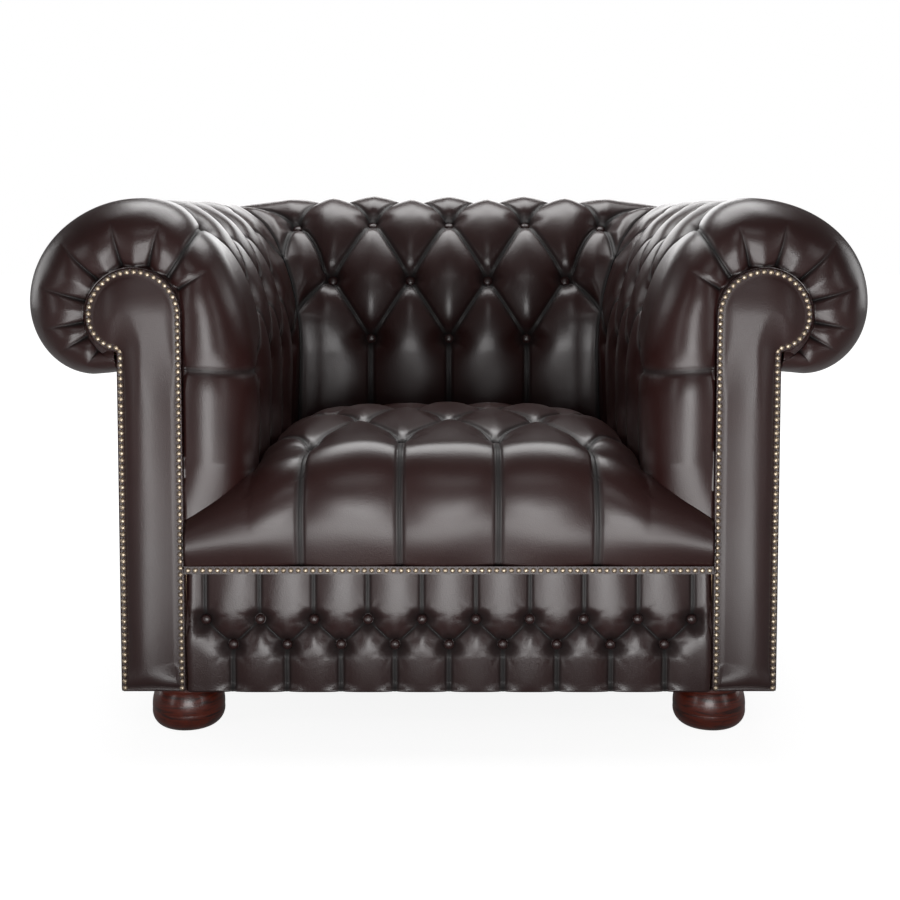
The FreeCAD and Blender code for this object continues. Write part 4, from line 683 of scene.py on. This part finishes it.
tuftLook = {
    "pocket": 34.0, "pocketWidth": 23.0, "pocketSeat": 5.0,
    "crease": 18.0, "armCrease": 7.5, "creaseWidth": 60.0, "pair": 2.5,
    "over": (62, 0.62),  # where a fold that passes the crest bends: past its button, and share of the way aside
    "pleat": 15.0, "armPleat": 10.0, "pleatWidth": 66.0, "pleatPair": 3.7, "pleatShare": 0.2,
    "mitre": 14.0, "mitreWidth": 46, "toMitre": 50,
    "step": (3.5, 3.3), "backColumns": 24,  # fineness of the mesh, across and along, and of its plain side
    "turnedIn": 22.0,  # strip at the tuck with no relief
    "armFirst": -300, "crossing": 480,  # first arm buttons, and where the pleat in front of them ends
}


def diamondFold(surface, first, last, crease, ends=None, via=None):
    look = tuftLook
    ends = ends or (look["pocket"], look["pocket"])
    return foldLine(surface, first, last, ends, crease, look["creaseWidth"], look["pair"], via=via)


def crestFold(surface, high, over, crease, ends=None):
    # from a button below the crest, steeply up over it and then aside to the button beyond
    rise, aside = tuftLook["over"]
    return diamondFold(surface, high, over, crease, ends, (high[0] + rise, high[1] + (over[1] - high[1]) * aside))


def pleatFold(surface, first, last, depth, width=None, pair=None):
    look = tuftLook
    return foldLine(surface, first, last, (look["pocket"], depth), depth, width or look["pleatWidth"],
                    pair or look["pleatPair"], crispShare=look["pleatShare"])


def tuftFolds(surface, lows, mids, highs, crease, pleat):
    # diamonds between the neighbouring buttons of each row, and pleats from the outer rows to the edges
    folds = []
    for mid in mids:
        for high in (run for run in highs if abs(run - mid) < tuft):
            folds.append(diamondFold(surface, (rowMid, mid), (rowHigh, high), crease))
            folds.append(crestFold(surface, (rowHigh, high), (rowOver, mid), crease))
        folds += [diamondFold(surface, (rowMid, mid), (rowLow, low), crease) for low in lows if abs(low - mid) < tuft]
        folds.append(pleatFold(surface, (rowOver, mid), (roll.length, mid), pleat))
    return folds + [pleatFold(surface, (rowLow, low), (0, low), pleat) for low in lows]


def mitreFolds(surface, end, upper, lower, crease):
    # from the last buttons into the seam where arm and back meet, and the seam itself
    look = tuftLook
    ends, seam = (look["pocket"], look["mitre"]), (look["mitre"], look["mitre"])
    return [
        diamondFold(surface, upper, (rowMid + look["toMitre"], end), crease, ends),
        diamondFold(surface, lower, (rowMid - look["toMitre"], end), crease, ends),
        crestFold(surface, upper, (rowOver, end), crease, ends),
        foldLine(surface, (0, end), (roll.length, end), seam, look["mitre"], look["mitreWidth"]),
    ]


def armFolds():
    look, surface = tuftLook, armSurface
    lows = [armRun(look["armFirst"] + tuft * i) for i in range(4)]
    mids = [run + tuft / 2 for run in lows[:3]]
    pockets = [pocketAt(surface, row, run, look) for run in lows for row in (rowLow, rowHigh)]
    pockets += [pocketAt(surface, row, run, look) for run in mids for row in (rowMid, rowOver)]
    folds = tuftFolds(surface, lows, mids, lows, look["armCrease"], look["armPleat"])
    folds += mitreFolds(surface, armEnd, (rowHigh, lows[-1]), (rowLow, lows[-1]), look["armCrease"])
    crossing = roll.where(lambda a, z: z >= look["crossing"])
    folds.append(pleatFold(surface, (rowLow, lows[0]), (crossing, 0), 6, width=34, pair=2.4))
    return folds + domeFolds(lows[0]), pockets


domeLook = {
    # radial pleats of the arm's front: place round the scroll in degrees, length, depth
    "pleats": ((29, 62, 9), (73, 56, 11), (103, 58, 11), (135, 66, 12), (163, 62, 11), (188, 58, 11),
               (207, 56, 10), (228, 48, 9)),
    "width": 30, "line": 2.2, "share": 0.3, "fade": 0.9,
    "long": 47, "longDeep": 10, "longWidth": 44,  # the one that runs back to the first button
}


def scrollAngle(angle):
    cx, cz = rollShape["scroll"]
    return roll.where(lambda a, z: (z > cz or a > cx) and math.degrees(math.atan2(z - cz, cx - a)) % 360 >= angle)


def domeFolds(firstRun):
    look = domeLook
    start = scrollAngle(look["long"])
    folds = [foldLine(armSurface, (start, 0), (rowHigh, firstRun), (look["longDeep"], tuftLook["pocket"]),
                      look["longDeep"], look["longWidth"], pair=2.2, line=1.8, crispShare=0.25)]
    for angle, run, deep in look["pleats"]:
        start = scrollAngle(angle)
        folds.append(foldLine(armSurface, (start, 0), (start, run), (deep, deep), deep, look["width"],
                              line=look["line"], crispShare=look["share"], fade=look["fade"]))
    return folds


def rollCover(name, surface, backing, end, folds, pockets, seed, side=1, hasFront=False):
    # the buttoned leather over the roll, with the plain side that lies on the board and the lining
    stepAcross, stepAlong = tuftLook["step"]
    along = np.linspace(0, roll.length, spread(roll.length, stepAcross) + 1)
    run = np.linspace(0, end, spread(end, stepAlong) + 1)
    outer, foldShade = creasedGrid(surface, along, run, folds, pockets, seed, 1, tuck=tuftLook["turnedIn"])
    count = tuftLook["backColumns"]
    parts, runs = np.meshgrid(np.linspace(0, 1, count), run, indexing="ij")
    inner = backing(parts.ravel(), runs.ravel()).reshape(*parts.shape, 3)
    if hasFront:  # there both sides meet, hidden by the facing
        inner[:, 0] = surface(np.linspace(roll.length, 0, count + 2)[1:-1], np.zeros(count)) + (0, 0.4, 0)
    return closedCover(name, outer, foldShade, inner, side)


for side, name, seed in ((1, "right", 11), (-1, "left", 23)):
    folds, pockets = armFolds()
    arm = rollCover(f"inside_arm_leather_{name}", armSurface, armBacking, armEnd, folds, pockets, seed, side, True)
    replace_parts(arm, f"inside_arm_cover_{name}", f"inside_arm_foam_{name}")
    addButtons(f"arm_buttons_{name}", f"inside_arm_buttons_{name}", pockets, side=side)
print("arms made")


def backFolds():
    look, surface = tuftLook, backSurface
    corner = backFan * 20 / 45  # the outermost buttons sit 20 of the corner's 45 degrees in
    highs = [corner, backRun(tuft), backRun(0), backRun(-tuft), backEnd - corner]
    lows = highs[1:4]
    mids = [backRun(tuft * i) for i in (1.5, 0.5, -0.5, -1.5)]
    pockets = [pocketAt(surface, rowHigh, run, look) for run in highs]
    pockets += [pocketAt(surface, rowLow, run, look) for run in lows]
    pockets += [pocketAt(surface, row, run, look) for run in mids for row in (rowMid, rowOver)]
    folds = tuftFolds(surface, lows, mids, highs, look["crease"], look["pleat"])
    folds += mitreFolds(surface, 0, (rowHigh, highs[0]), (rowMid, mids[0]), look["crease"])
    folds += mitreFolds(surface, backEnd, (rowHigh, highs[-1]), (rowMid, mids[-1]), look["crease"])
    return folds, pockets


folds, pockets = backFolds()
back = rollCover("inside_back_leather", backSurface, backBacking, backEnd, folds, pockets, 37)
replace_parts(back, "inside_back_cover", "inside_back_foam")
addButtons("back_buttons", "inside_back_buttons", pockets)
print("back made")


# the seat

seatShape = {
    "front": 447, "footZ": 226, "belly": 13, "bellyZ": 290, "crest": (-392, 386), "crown": (-200, 397),
    "rear": (158, 356), "half": 258.5, "droop": 0.28, "round": 42, "earHalf": 341.5, "earShare": 0.50,
    "tuft": 128, "first": 340, "pitch": 138, "columns": (1.5, 1.0),  # outermost button of the long and short rows
    "pocket": 26.0, "pocketWidth": 23.0, "pocketSeat": 7.0,
    "crease": 14.0, "width": 56.0, "pair": 2.5,
    "sideX": 254.0, "sideCrease": 6.0, "sideEnd": 4.0, "sideWidth": 40.0, "sidePair": 2.4,
    "pleat": 10.0, "pleatEnd": 6.0, "pleatWidth": 60.0, "rearPleat": 7.0, "rearWidth": 50.0,
    # the plain side: down behind, forward over the hessian, down behind the rail's leather
    "deckZ": 268.0, "deckHalf": 250, "deckRear": 156, "deckFront": -430, "underY": -431.0, "underZ": 230,
    "underHalf": 330, "step": (3.2, 3.1), "backColumns": 14,
}


def makeSeatProfile():
    shape = seatShape
    front, belly = -shape["front"], shape["belly"]
    rise = np.linspace(0, 1, 25)
    low = shape["footZ"] + (shape["bellyZ"] - shape["footZ"]) * rise
    points = list(zip(front - belly * np.sin(rise * math.pi / 2), low))
    (crestY, crestZ), (crownY, crownZ) = shape["crest"], shape["crown"]
    points += arcPoints(crestY, shape["bellyZ"], crestY - front + belly, crestZ - shape["bellyZ"], 180, 90)
    way = np.linspace(0, 1, 41)
    for (edgeY, edgeZ), offs in ((shape["crest"], way[-2::-1]), (shape["rear"], way[1:])):
        points += [(crownY + (edgeY - crownY) * off, crownZ - (crownZ - edgeZ) * off**2) for off in offs]
    return Profile(points)


seatProfile = makeSeatProfile()
seatRows = [seatProfile.where(lambda y, z: y >= seatShape["pitch"] * row - seatShape["first"]) for row in range(4)]


def seatEdge(y):
    # half width of the seat: it follows the arm's rounded front, the arm, and the rounded rear corner
    shape = seatShape
    share = np.clip((y - rollShape["ringY"]) / rollShape["dome"], 0, 1)
    swell = np.sqrt(np.maximum(1 - (1 - share) ** 2, 0))
    edge = shape["earHalf"] - (shape["earHalf"] - shape["half"]) * swell
    over = np.clip((y - shape["rear"][0] + shape["round"]) / shape["round"], 0, 1)
    return edge - shape["round"] * (1 - np.sqrt(np.maximum(1 - over**2, 0)))


def seatSurface(along, x):
    # the section of the middle, lower towards the arms and in the front corners
    shape = seatShape
    y, z = seatProfile.at(along)
    share = 1 - shape["droop"] * np.minimum(np.abs(x) / shape["half"], 1) ** 5
    past = np.clip((np.abs(x) - shape["half"]) / (shape["earHalf"] - shape["half"]), 0, 1)
    share = share - (1 - shape["droop"] - shape["earShare"]) * past**1.5
    bellied = np.minimum(1, share * 2.2)
    y = np.where(y < -shape["front"], -shape["front"] + (y + shape["front"]) * bellied, y)
    return np.stack([x, y, shape["footZ"] + (z - shape["footZ"]) * share], -1)


def seatFolds():
    shape, surface = seatShape, seatSurface
    step, pocket = shape["tuft"], shape["pocket"]
    places = [np.arange(-last, last + 1) * step for last in shape["columns"] * 2]  # button columns of the four rows
    pockets = [pocketAt(surface, seatRows[row], x, shape) for row in range(4) for x in places[row]]
    folds = []
    for row in range(3):
        for a in places[row]:
            for b in (b for b in places[row + 1] if abs(a - b) == step / 2):
                folds.append(foldLine(surface, (seatRows[row], a), (seatRows[row + 1], b), (pocket, pocket),
                                      shape["crease"], shape["width"], shape["pair"]))
    for side in (-1, 1):  # from the outermost buttons to the arms
        for row, other in ((0, 1), (2, 1), (2, 3)):
            start, end = (seatRows[row], places[0][-1] * side), (seatRows[other], shape["sideX"] * side)
            folds.append(foldLine(surface, start, end, (pocket, shape["sideEnd"]), shape["sideCrease"],
                                  shape["sideWidth"], shape["sidePair"]))
    ends = (pocket, shape["pleatEnd"])
    folds += [foldLine(surface, (seatRows[0], x), (0, x), ends, shape["pleat"], shape["pleatWidth"],
                       pair=3.6, crispShare=0.26) for x in places[0]]
    folds += [foldLine(surface, (seatRows[3], x), (seatProfile.length, x), ends, shape["rearPleat"],
                       shape["rearWidth"], pair=3.4) for x in places[3]]
    return folds, pockets


def seatUnderside(outer, wide):
    shape = seatShape
    # the seat's plain side, from its rear edge round to the foot of its front
    edge, deck = outer[-1], shape["deckZ"]
    x, deckX = edge[:, 0], wide * shape["deckHalf"]
    count = shape["backColumns"]
    rows = []
    for t in np.arange(1, count + 1) / (count + 1):
        if t < 0.2:
            row = x, edge[0, 1] - 2, edge[:, 2] + (deck - edge[:, 2]) * t / 0.2
        elif t < 0.85:
            s = (t - 0.2) / 0.65
            y = shape["deckRear"] + (shape["deckFront"] - shape["deckRear"]) * s
            row = x + (deckX - x) * min(s * 3, 1), y, deck
        else:
            s = (t - 0.85) / 0.15
            z = deck + (shape["underZ"] - deck) * s
            row = deckX + (wide * shape["underHalf"] - deckX) * s, shape["underY"], z
        rows.append(np.stack(np.broadcast_arrays(*row), -1))
    return np.array(rows)


def makeSeat():
    folds, pockets = seatFolds()
    stepAlong, stepAcross = seatShape["step"]
    along = np.linspace(0, seatProfile.length, spread(seatProfile.length, stepAlong) + 1)
    wide = np.linspace(-1, 1, spread(2 * seatShape["earHalf"], stepAcross) + 1)

    def surface(a, w):
        return seatSurface(a, w * seatEdge(seatProfile.at(a)[0]))

    outer, foldShade = creasedGrid(surface, along, wide, folds, pockets, 51, -1, 1.3, 110.0, 1.0)
    piece = closedCover("seat_leather", outer, foldShade, seatUnderside(outer, wide))
    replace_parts(piece, "seat_cover", "seat_foam")
    addButtons("seat_buttons_leather", "seat_buttons", pockets, out=-1)


makeSeat()
print("seat made")


# the front border

borderShape = {
    "low": 62, "high": 222, "y": -447, "backY": -434.0, "crown": 3.5, "half": 342,
    "edge": 9.0, "edgeRound": 6.0, "step": 2.2,
    "columns": 19, "tuft": 70.4, "upper": 156, "lower": 122,
    "pocket": 17.0, "pocketWidth": 25.0, "pocketSeat": 6.0,
    "foldEnd": 15.0, "crease": 11.0, "width": 34.0,
    # pleats to the upper and the lower edge: depth there, depth halfway, half the distance of their lines
    "upPleat": (9.0, 10.0, 2.0), "downPleat": (10.0, 11.0, 2.6),
    "hem": 12.0,
}


def borderSurface(z, x):
    shape = borderShape
    share = (z - shape["low"]) / (shape["high"] - shape["low"])
    edge = np.clip((shape["half"] - np.abs(x)) / shape["edge"], 0, 1)
    roundOff = shape["edgeRound"] * (1 - np.sqrt(np.maximum(1 - (1 - edge) ** 2, 0)))
    return np.stack([x, shape["y"] - shape["crown"] * (1 - (2 * share - 1) ** 2) + roundOff, z], -1)


def makeBorder():
    shape, surface = borderShape, borderSurface
    columns = (np.arange(shape["columns"]) - shape["columns"] // 2) * shape["tuft"] / 2
    pockets, folds = [], []
    for i, x in enumerate(columns):
        upper = i % 2 == 0
        z, other = (shape["upper"], shape["lower"]) if upper else (shape["lower"], shape["upper"])
        pockets.append(pocketAt(surface, z, x, shape))
        if i < len(columns) - 1:
            folds.append(foldLine(surface, (z, x), (other, columns[i + 1]), (shape["foldEnd"],) * 2,
                                  shape["crease"], shape["width"], line=1.8, crispShare=0.12))
        edge = shape["high"] if upper else shape["low"]
        atEdge, middle, pair = shape["upPleat"] if upper else shape["downPleat"]
        folds.append(foldLine(surface, (z, x), (edge, x), (shape["foldEnd"], atEdge), middle, shape["width"],
                              pair, line=1.3, crispShare=0.2))
    xs = np.linspace(-shape["half"], shape["half"], spread(2 * shape["half"], shape["step"]) + 1)
    zs = np.linspace(shape["low"], shape["high"], spread(shape["high"] - shape["low"], shape["step"]) + 1)
    outer, foldShade = creasedGrid(surface, zs, xs, folds, pockets, 61, -1, 0.5, 70.0, 0.6)
    # the folds run out before the lower edge, which is nailed straight
    plain = surface(outer[..., 2].ravel(), outer[..., 0].ravel()).reshape(outer.shape)
    hem = np.clip((outer[..., 2] - shape["low"]) / shape["hem"], 0, 1)
    outer = plain + (outer - plain) * (hem * (2 - hem))[..., None]
    inner = [np.stack(np.broadcast_arrays(xs, shape["backY"], z), -1) for z in (shape["high"], shape["low"])]
    piece = closedCover("front_border_leather", outer, foldShade, np.array(inner))
    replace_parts(piece, "front_border_cover", "front_border_foam")
    addButtons("border_buttons_leather", "front_border_buttons", pockets, "small", out=-1)


makeBorder()
print("border made")


# the facings

facingShape = {
    "inner": 343, "outer": 427, "low": 62, "notch": 507, "scroll": (405, 553), "radius": 62, "cornerRound": 3,
    "middle": 385, "turnIn": 20, "turnFrom": 430,  # the middle line, and how far it leans into the scroll
    "footEnd": 40, "rungs": 72,  # where the middle line starts above the base, and how many steps it has
    "rimY": -445, "backY": -441, "edge": 2.2, "rim": 9.0,
    "nailLine": 5.2, "nailSwell": 0.5, "nailWidth": 2.0, "rimStep": 0.35,
    "rise": 12.0, "lean": 9.0, "footRound": 22,
}


def facingOutline():
    shape = facingShape
    cx, cz = shape["scroll"]
    low, inner, outer, corner, middle = (shape[n] for n in ("low", "inner", "outer", "cornerRound", "middle"))
    tip, drop = cx + shape["radius"], cz - shape["notch"]
    small = ((tip - outer) ** 2 + drop**2) / (2 * (tip - outer))
    turn = math.degrees(math.atan2(-drop, outer - tip + small))
    points = [(middle, low), (inner + corner, low)]
    points += arcPoints(inner + corner, low + corner, corner, corner, 270, 180, 4)
    points += [(inner, low + shape["footEnd"]), (inner, cz)]
    points += arcPoints(cx, cz, shape["radius"], shape["radius"], 180, 0)
    points += arcPoints(tip - small, cz, small, small, 0, turn, 20)
    points += [(outer, low + shape["footEnd"]), (outer, low + corner)]
    points += arcPoints(outer - corner, low + corner, corner, corner, 0, -90, 4)
    return Profile(points + [(middle, low)])


def makeFacing(side, name, seed):
    shape = facingShape
    outline = facingOutline()
    edgeLine = np.array([(a, 0.0, b) for a, b in outline.points if b > shape["low"] + shape["cornerRound"]])
    around = spread(outline.length, 3.0)
    x, z = outline.at(np.linspace(0, outline.length, around + 1))
    low, high = shape["low"] + shape["footEnd"], shape["scroll"][1]
    rimY, rim, edge = shape["rimY"], shape["rim"], shape["edge"]

    def spine(height):
        bend = np.clip((height - shape["turnFrom"]) / (high - shape["turnFrom"]), 0, 1)
        return shape["middle"] + shape["turnIn"] * bend**2 * (3 - 2 * bend)

    def padding(wide, tall):
        # how far the pad stands out, by the distance to the edge; its crown lies outward
        half = shape["middle"] - shape["inner"]
        lean = shape["lean"] * np.clip(1 - ((wide - spine(tall)) / half) ** 2, 0, 1)
        inside = nearestOn(np.stack([wide - lean, 0 * wide, tall], -1), edgeLine)[0] - rim
        share = np.clip(inside / (spine(tall) - shape["inner"] - rim), 0, 1)
        foot = np.clip((tall - shape["low"] - rim / 2) / shape["footRound"], 0, 1)
        soft = np.sin(tall * 0.021 + seed) * 0.35 + np.sin(tall * 0.053 + seed * 2) * 0.2
        return (shape["rise"] * (1 - (1 - share) ** 2) - soft * share) * (foot * (2 - foot)) ** 0.5

    spineZ = np.clip(z, low, high)
    spineX = spine(spineZ)
    reach = np.hypot(x - spineX, z - spineZ)
    # both ends of the rows meet on the middle line's rungs, where they weld
    rung = (high - low) / shape["rungs"]
    metZ = low + np.rint((spineZ - low) / rung) * rung
    # from the middle of the back out to the rim, over it, along the nails and across the padding
    steps = [("back", s) for s in (0.0, 0.5, 0.97)] + [("rim", a) for a in (0, 30, 60, 90)]
    steps += [("flat", e) for e in (3.4, 4.6, 5.8, 7.4, 8.8)] + [("pad", s) for s in np.linspace(0, 1, 15)[1:]]
    rows = []
    for kind, value in steps:
        if kind == "back":
            inward, y = reach * (1 - value), shape["backY"]
        elif kind == "rim":
            turn = math.radians(value)
            inward, y = edge * (1 - math.cos(turn)), rimY + edge * (1 - math.sin(turn))
        elif kind == "flat":
            swell = shape["nailSwell"] * math.exp(-((value - shape["nailLine"]) / shape["nailWidth"]) ** 2)
            inward, y = value, rimY + swell + shape["rimStep"] * (value > 8)
        else:
            inward = rim + (reach - rim) * value
        t = 1 - inward / reach
        wide, tall = spineX + (x - spineX) * t, spineZ + (z - spineZ) * t
        if kind in ("back", "pad") and value in (0.0, 1.0):
            wide, tall = spine(metZ), metZ
        if kind == "pad":
            y = rimY - padding(wide, tall)
        rows.append(np.stack(np.broadcast_arrays(wide * side, y, tall), -1))
    bm = bentGrid(np.array(rows))
    closeMesh(bm, bm.verts, 2e-5)
    piece = linkPiece(bm, f"facing_leather_{name}", "panelLeather")
    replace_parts(piece, f"facing_cover_{name}")


makeFacing(1, "right", 0.4)
makeFacing(-1, "left", 2.1)
print("facings made")


# outside panels, trim strip and the cloth under the base

panelLook = {"step": 9, "swellOver": 60, "wave": 0.8, "waveOver": 40, "edgeRound": 2.0, "edgeOver": 4, "sharp": 0.9}


def makePanel(name, replaced, corner, across, up, out, crown=2.5, thick=3.0, finish="panelLeather"):
    # a covered panel with rolled edges and a slight swell; corner, across and up give its face
    look = panelLook
    corner, across, up, out = (np.array(v, float) for v in (corner, across, up, out))
    wide, tall = np.linalg.norm(across), np.linalg.norm(up)
    bm = bmesh.new()
    bmesh.ops.create_grid(bm, x_segments=spread(wide, look["step"]), y_segments=spread(tall, look["step"]), size=1.0)
    bmesh.ops.recalc_face_normals(bm, faces=bm.faces)
    shell = bmesh.ops.extrude_face_region(bm, geom=bm.faces[:])["geom"]
    backVerts = {v for v in shell if isinstance(v, bmesh.types.BMVert)}
    for vert in bm.verts:
        s, t = (vert.co.x + 1) / 2, (vert.co.y + 1) / 2
        edge = min(s * wide, (1 - s) * wide, t * tall, (1 - t) * tall)
        lift = crown * (1 - (1 - min(edge / look["swellOver"], 1)) ** 2)
        lift += look["wave"] * math.sin(s * 9 + t * 5) * min(edge / look["waveOver"], 1)
        lift -= look["edgeRound"] * max(0, 1 - edge / look["edgeOver"]) ** 2
        vert.co = (corner + across * s + up * t + out * (-thick if vert in backVerts else lift)) / 1000
    for face in bm.faces:
        face.smooth = True
    bmesh.ops.recalc_face_normals(bm, faces=bm.faces)
    if bm.calc_volume(signed=True) < 0:  # the thin cloth comes out inside out
        bmesh.ops.reverse_faces(bm, faces=bm.faces)
    for edge in (e for e in bm.edges if len(e.link_faces) == 2 and e.calc_face_angle(0) > look["sharp"]):
        edge.smooth = False
    piece = linkPiece(bm, name, finish)
    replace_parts(piece, replaced)
    return piece


for side, name in ((1, "right"), (-1, "left")):
    panel = makePanel(f"outside_arm_leather_{name}", f"outside_arm_panel_{name}",
                      (427 * side, -433, 62), (0, 760, 0), (0, 0, 428), (side, 0, 0))
panel = makePanel("outside_back_leather", "outside_back_panel", (-424, 327, 62), (848, 0, 0), (0, 0, 428), (0, 1, 0))
cloth = makePanel("dust_cloth_sheet", "dust_cover", (-424, -433, 62.2), (848, 0, 0), (0, 757, 0), (0, 0, -1),
                  3.0, 0.8, "dust_cloth")
# leather is taken round these pieces, and shows at their edges
for wrapped in ("seat_trim_strip", "facing_board_left", "facing_board_right"):
    setFinish(wrapped, "panelLeather")
print("outside made")


# camera, light and floor

cameraPlace = {"at": (0.0, -2.260, 0.681), "focal": 1421.6, "tilt": 3.99, "shiftX": 0.0012, "shiftY": -0.15}


def makeCamera():
    data = bpy.data.cameras.new("camera")
    camera = bpy.data.objects.new("camera", data)
    bpy.context.scene.collection.objects.link(camera)
    data.sensor_width = 36
    data.lens = cameraPlace["focal"] / 900 * data.sensor_width  # the focal length is in pixels of the picture
    data.shift_x, data.shift_y = cameraPlace["shiftX"], cameraPlace["shiftY"]
    camera.location = cameraPlace["at"]
    camera.rotation_euler = (math.radians(90 - cameraPlace["tilt"]), 0, 0)
    bpy.context.scene.camera = camera


lamps = [
    {"name": "overheadSoftbox", "at": (0, 0.65, 2.55), "aim": (0, 0.35, 0.3), "size": (2.2, 1.6), "power": 72},
    {"name": "keySoftbox", "at": (0.0, -3.2, 2.5), "aim": (0, -0.3, 0.5), "size": (1.7, 0.6), "power": 9},
    {"name": "lowSoftbox", "at": (0.0, -2.75, 0.33), "aim": (0, -0.4, 0.33), "size": (1.1, 0.6), "power": 21},
    {"name": "floorSoftbox", "at": (0.0, -1.6, 0.012), "aim": (0, -1.6, 1), "size": (1.1, 1.5), "power": 30},
    {"name": "leftSoftbox", "at": (-2.3, -2.4, 0.85), "aim": (0, -0.2, 0.45), "size": (0.5, 1.6), "power": 7},
    {"name": "rightSoftbox", "at": (2.3, -2.4, 0.85), "aim": (0, -0.2, 0.45), "size": (0.5, 1.6), "power": 7},
    {"name": "leftFill", "at": (-4.0, 1.2, 1.3), "aim": (0, 0, 0.4), "size": (2.4, 2.0), "power": 34},
    {"name": "rightFill", "at": (4.0, 1.2, 1.3), "aim": (0, 0, 0.4), "size": (2.4, 2.0), "power": 34},
    {"name": "rearSoftbox", "at": (0.0, 4.2, 1.6), "aim": (0, 0, 0.4), "size": (2.6, 1.6), "power": 40},
]


def makeLamps():
    for lamp in lamps:
        data = bpy.data.lights.new(lamp["name"], "AREA")
        data.shape = "RECTANGLE"
        data.size, data.size_y = lamp["size"]
        data.energy = lamp["power"]
        light = bpy.data.objects.new(lamp["name"], data)
        bpy.context.scene.collection.objects.link(light)
        light.location = lamp["at"]
        away = Vector(lamp["at"]) - Vector(lamp["aim"])
        light.rotation_euler = away.to_track_quat("Z", "Y").to_euler()
        light.visible_camera = False


studioLook = {
    "room": (0.10, 0.10, 0.10),  # what the room lends as light and reflection
    "floor": (0.2, 0.2, 0.2),
    "mirrored": 0.12,  # share of the floor's glow in reflections: the dark hide would turn grey in a full one
    "near": 0.86, "farther": 0.25, "reach": 0.42,  # its glow at the chair, what is added far off, and how soon
}


def makeWorld():
    world = bpy.data.worlds.new("studio")
    bpy.context.scene.world = world
    world.use_nodes = True
    tree = world.node_tree
    path = tree.nodes.new("ShaderNodeLightPath")
    # seen directly the room is white
    shown = mixColour(tree, path.outputs["Is Camera Ray"], studioLook["room"], (1, 1, 1))
    feed(tree, tree.nodes["Background"].inputs["Color"], shown)


def makeFloor():
    look = studioLook
    bm = bmesh.new()
    bmesh.ops.create_grid(bm, x_segments=2, y_segments=2, size=14.0)
    mesh = bpy.data.meshes.new("floor")
    bm.to_mesh(mesh)
    bm.free()
    floor = bpy.data.objects.new("floor", mesh)
    bpy.context.scene.collection.objects.link(floor)
    material, tree = startMaterial("paleFloor", Base_Color=look["floor"], Roughness=0.9, Specular_IOR_Level=0.0)
    path = tree.nodes.new("ShaderNodeLightPath").outputs
    mirrored = mathNode(tree, "MULTIPLY", path["Is Glossy Ray"], look["mirrored"])
    seen = mathNode(tree, "MAXIMUM", path["Is Camera Ray"], mirrored)
    seen = mathNode(tree, "MAXIMUM", seen, path["Is Transmission Ray"])
    away = addNode(tree, "ShaderNodeVectorMath", objectPlace(tree), operation="LENGTH").outputs["Value"]
    far = mathNode(tree, "MINIMUM", mathNode(tree, "MULTIPLY", away, look["reach"]), 1.0)
    level = mathNode(tree, "MULTIPLY_ADD", far, look["farther"], look["near"])
    glow = addNode(tree, "ShaderNodeEmission", Color=(1, 1, 1), Strength=mathNode(tree, "MULTIPLY", seen, level))
    shader = tree.nodes["Principled BSDF"]
    both = addNode(tree, "ShaderNodeAddShader", shader.outputs[0], glow.outputs[0])
    feed(tree, tree.nodes["Material Output"].inputs["Surface"], both.outputs[0])
    mesh.materials.append(material)


makeCamera()
makeLamps()
makeWorld()
makeFloor()
bpy.context.scene.view_settings.view_transform = "Standard"
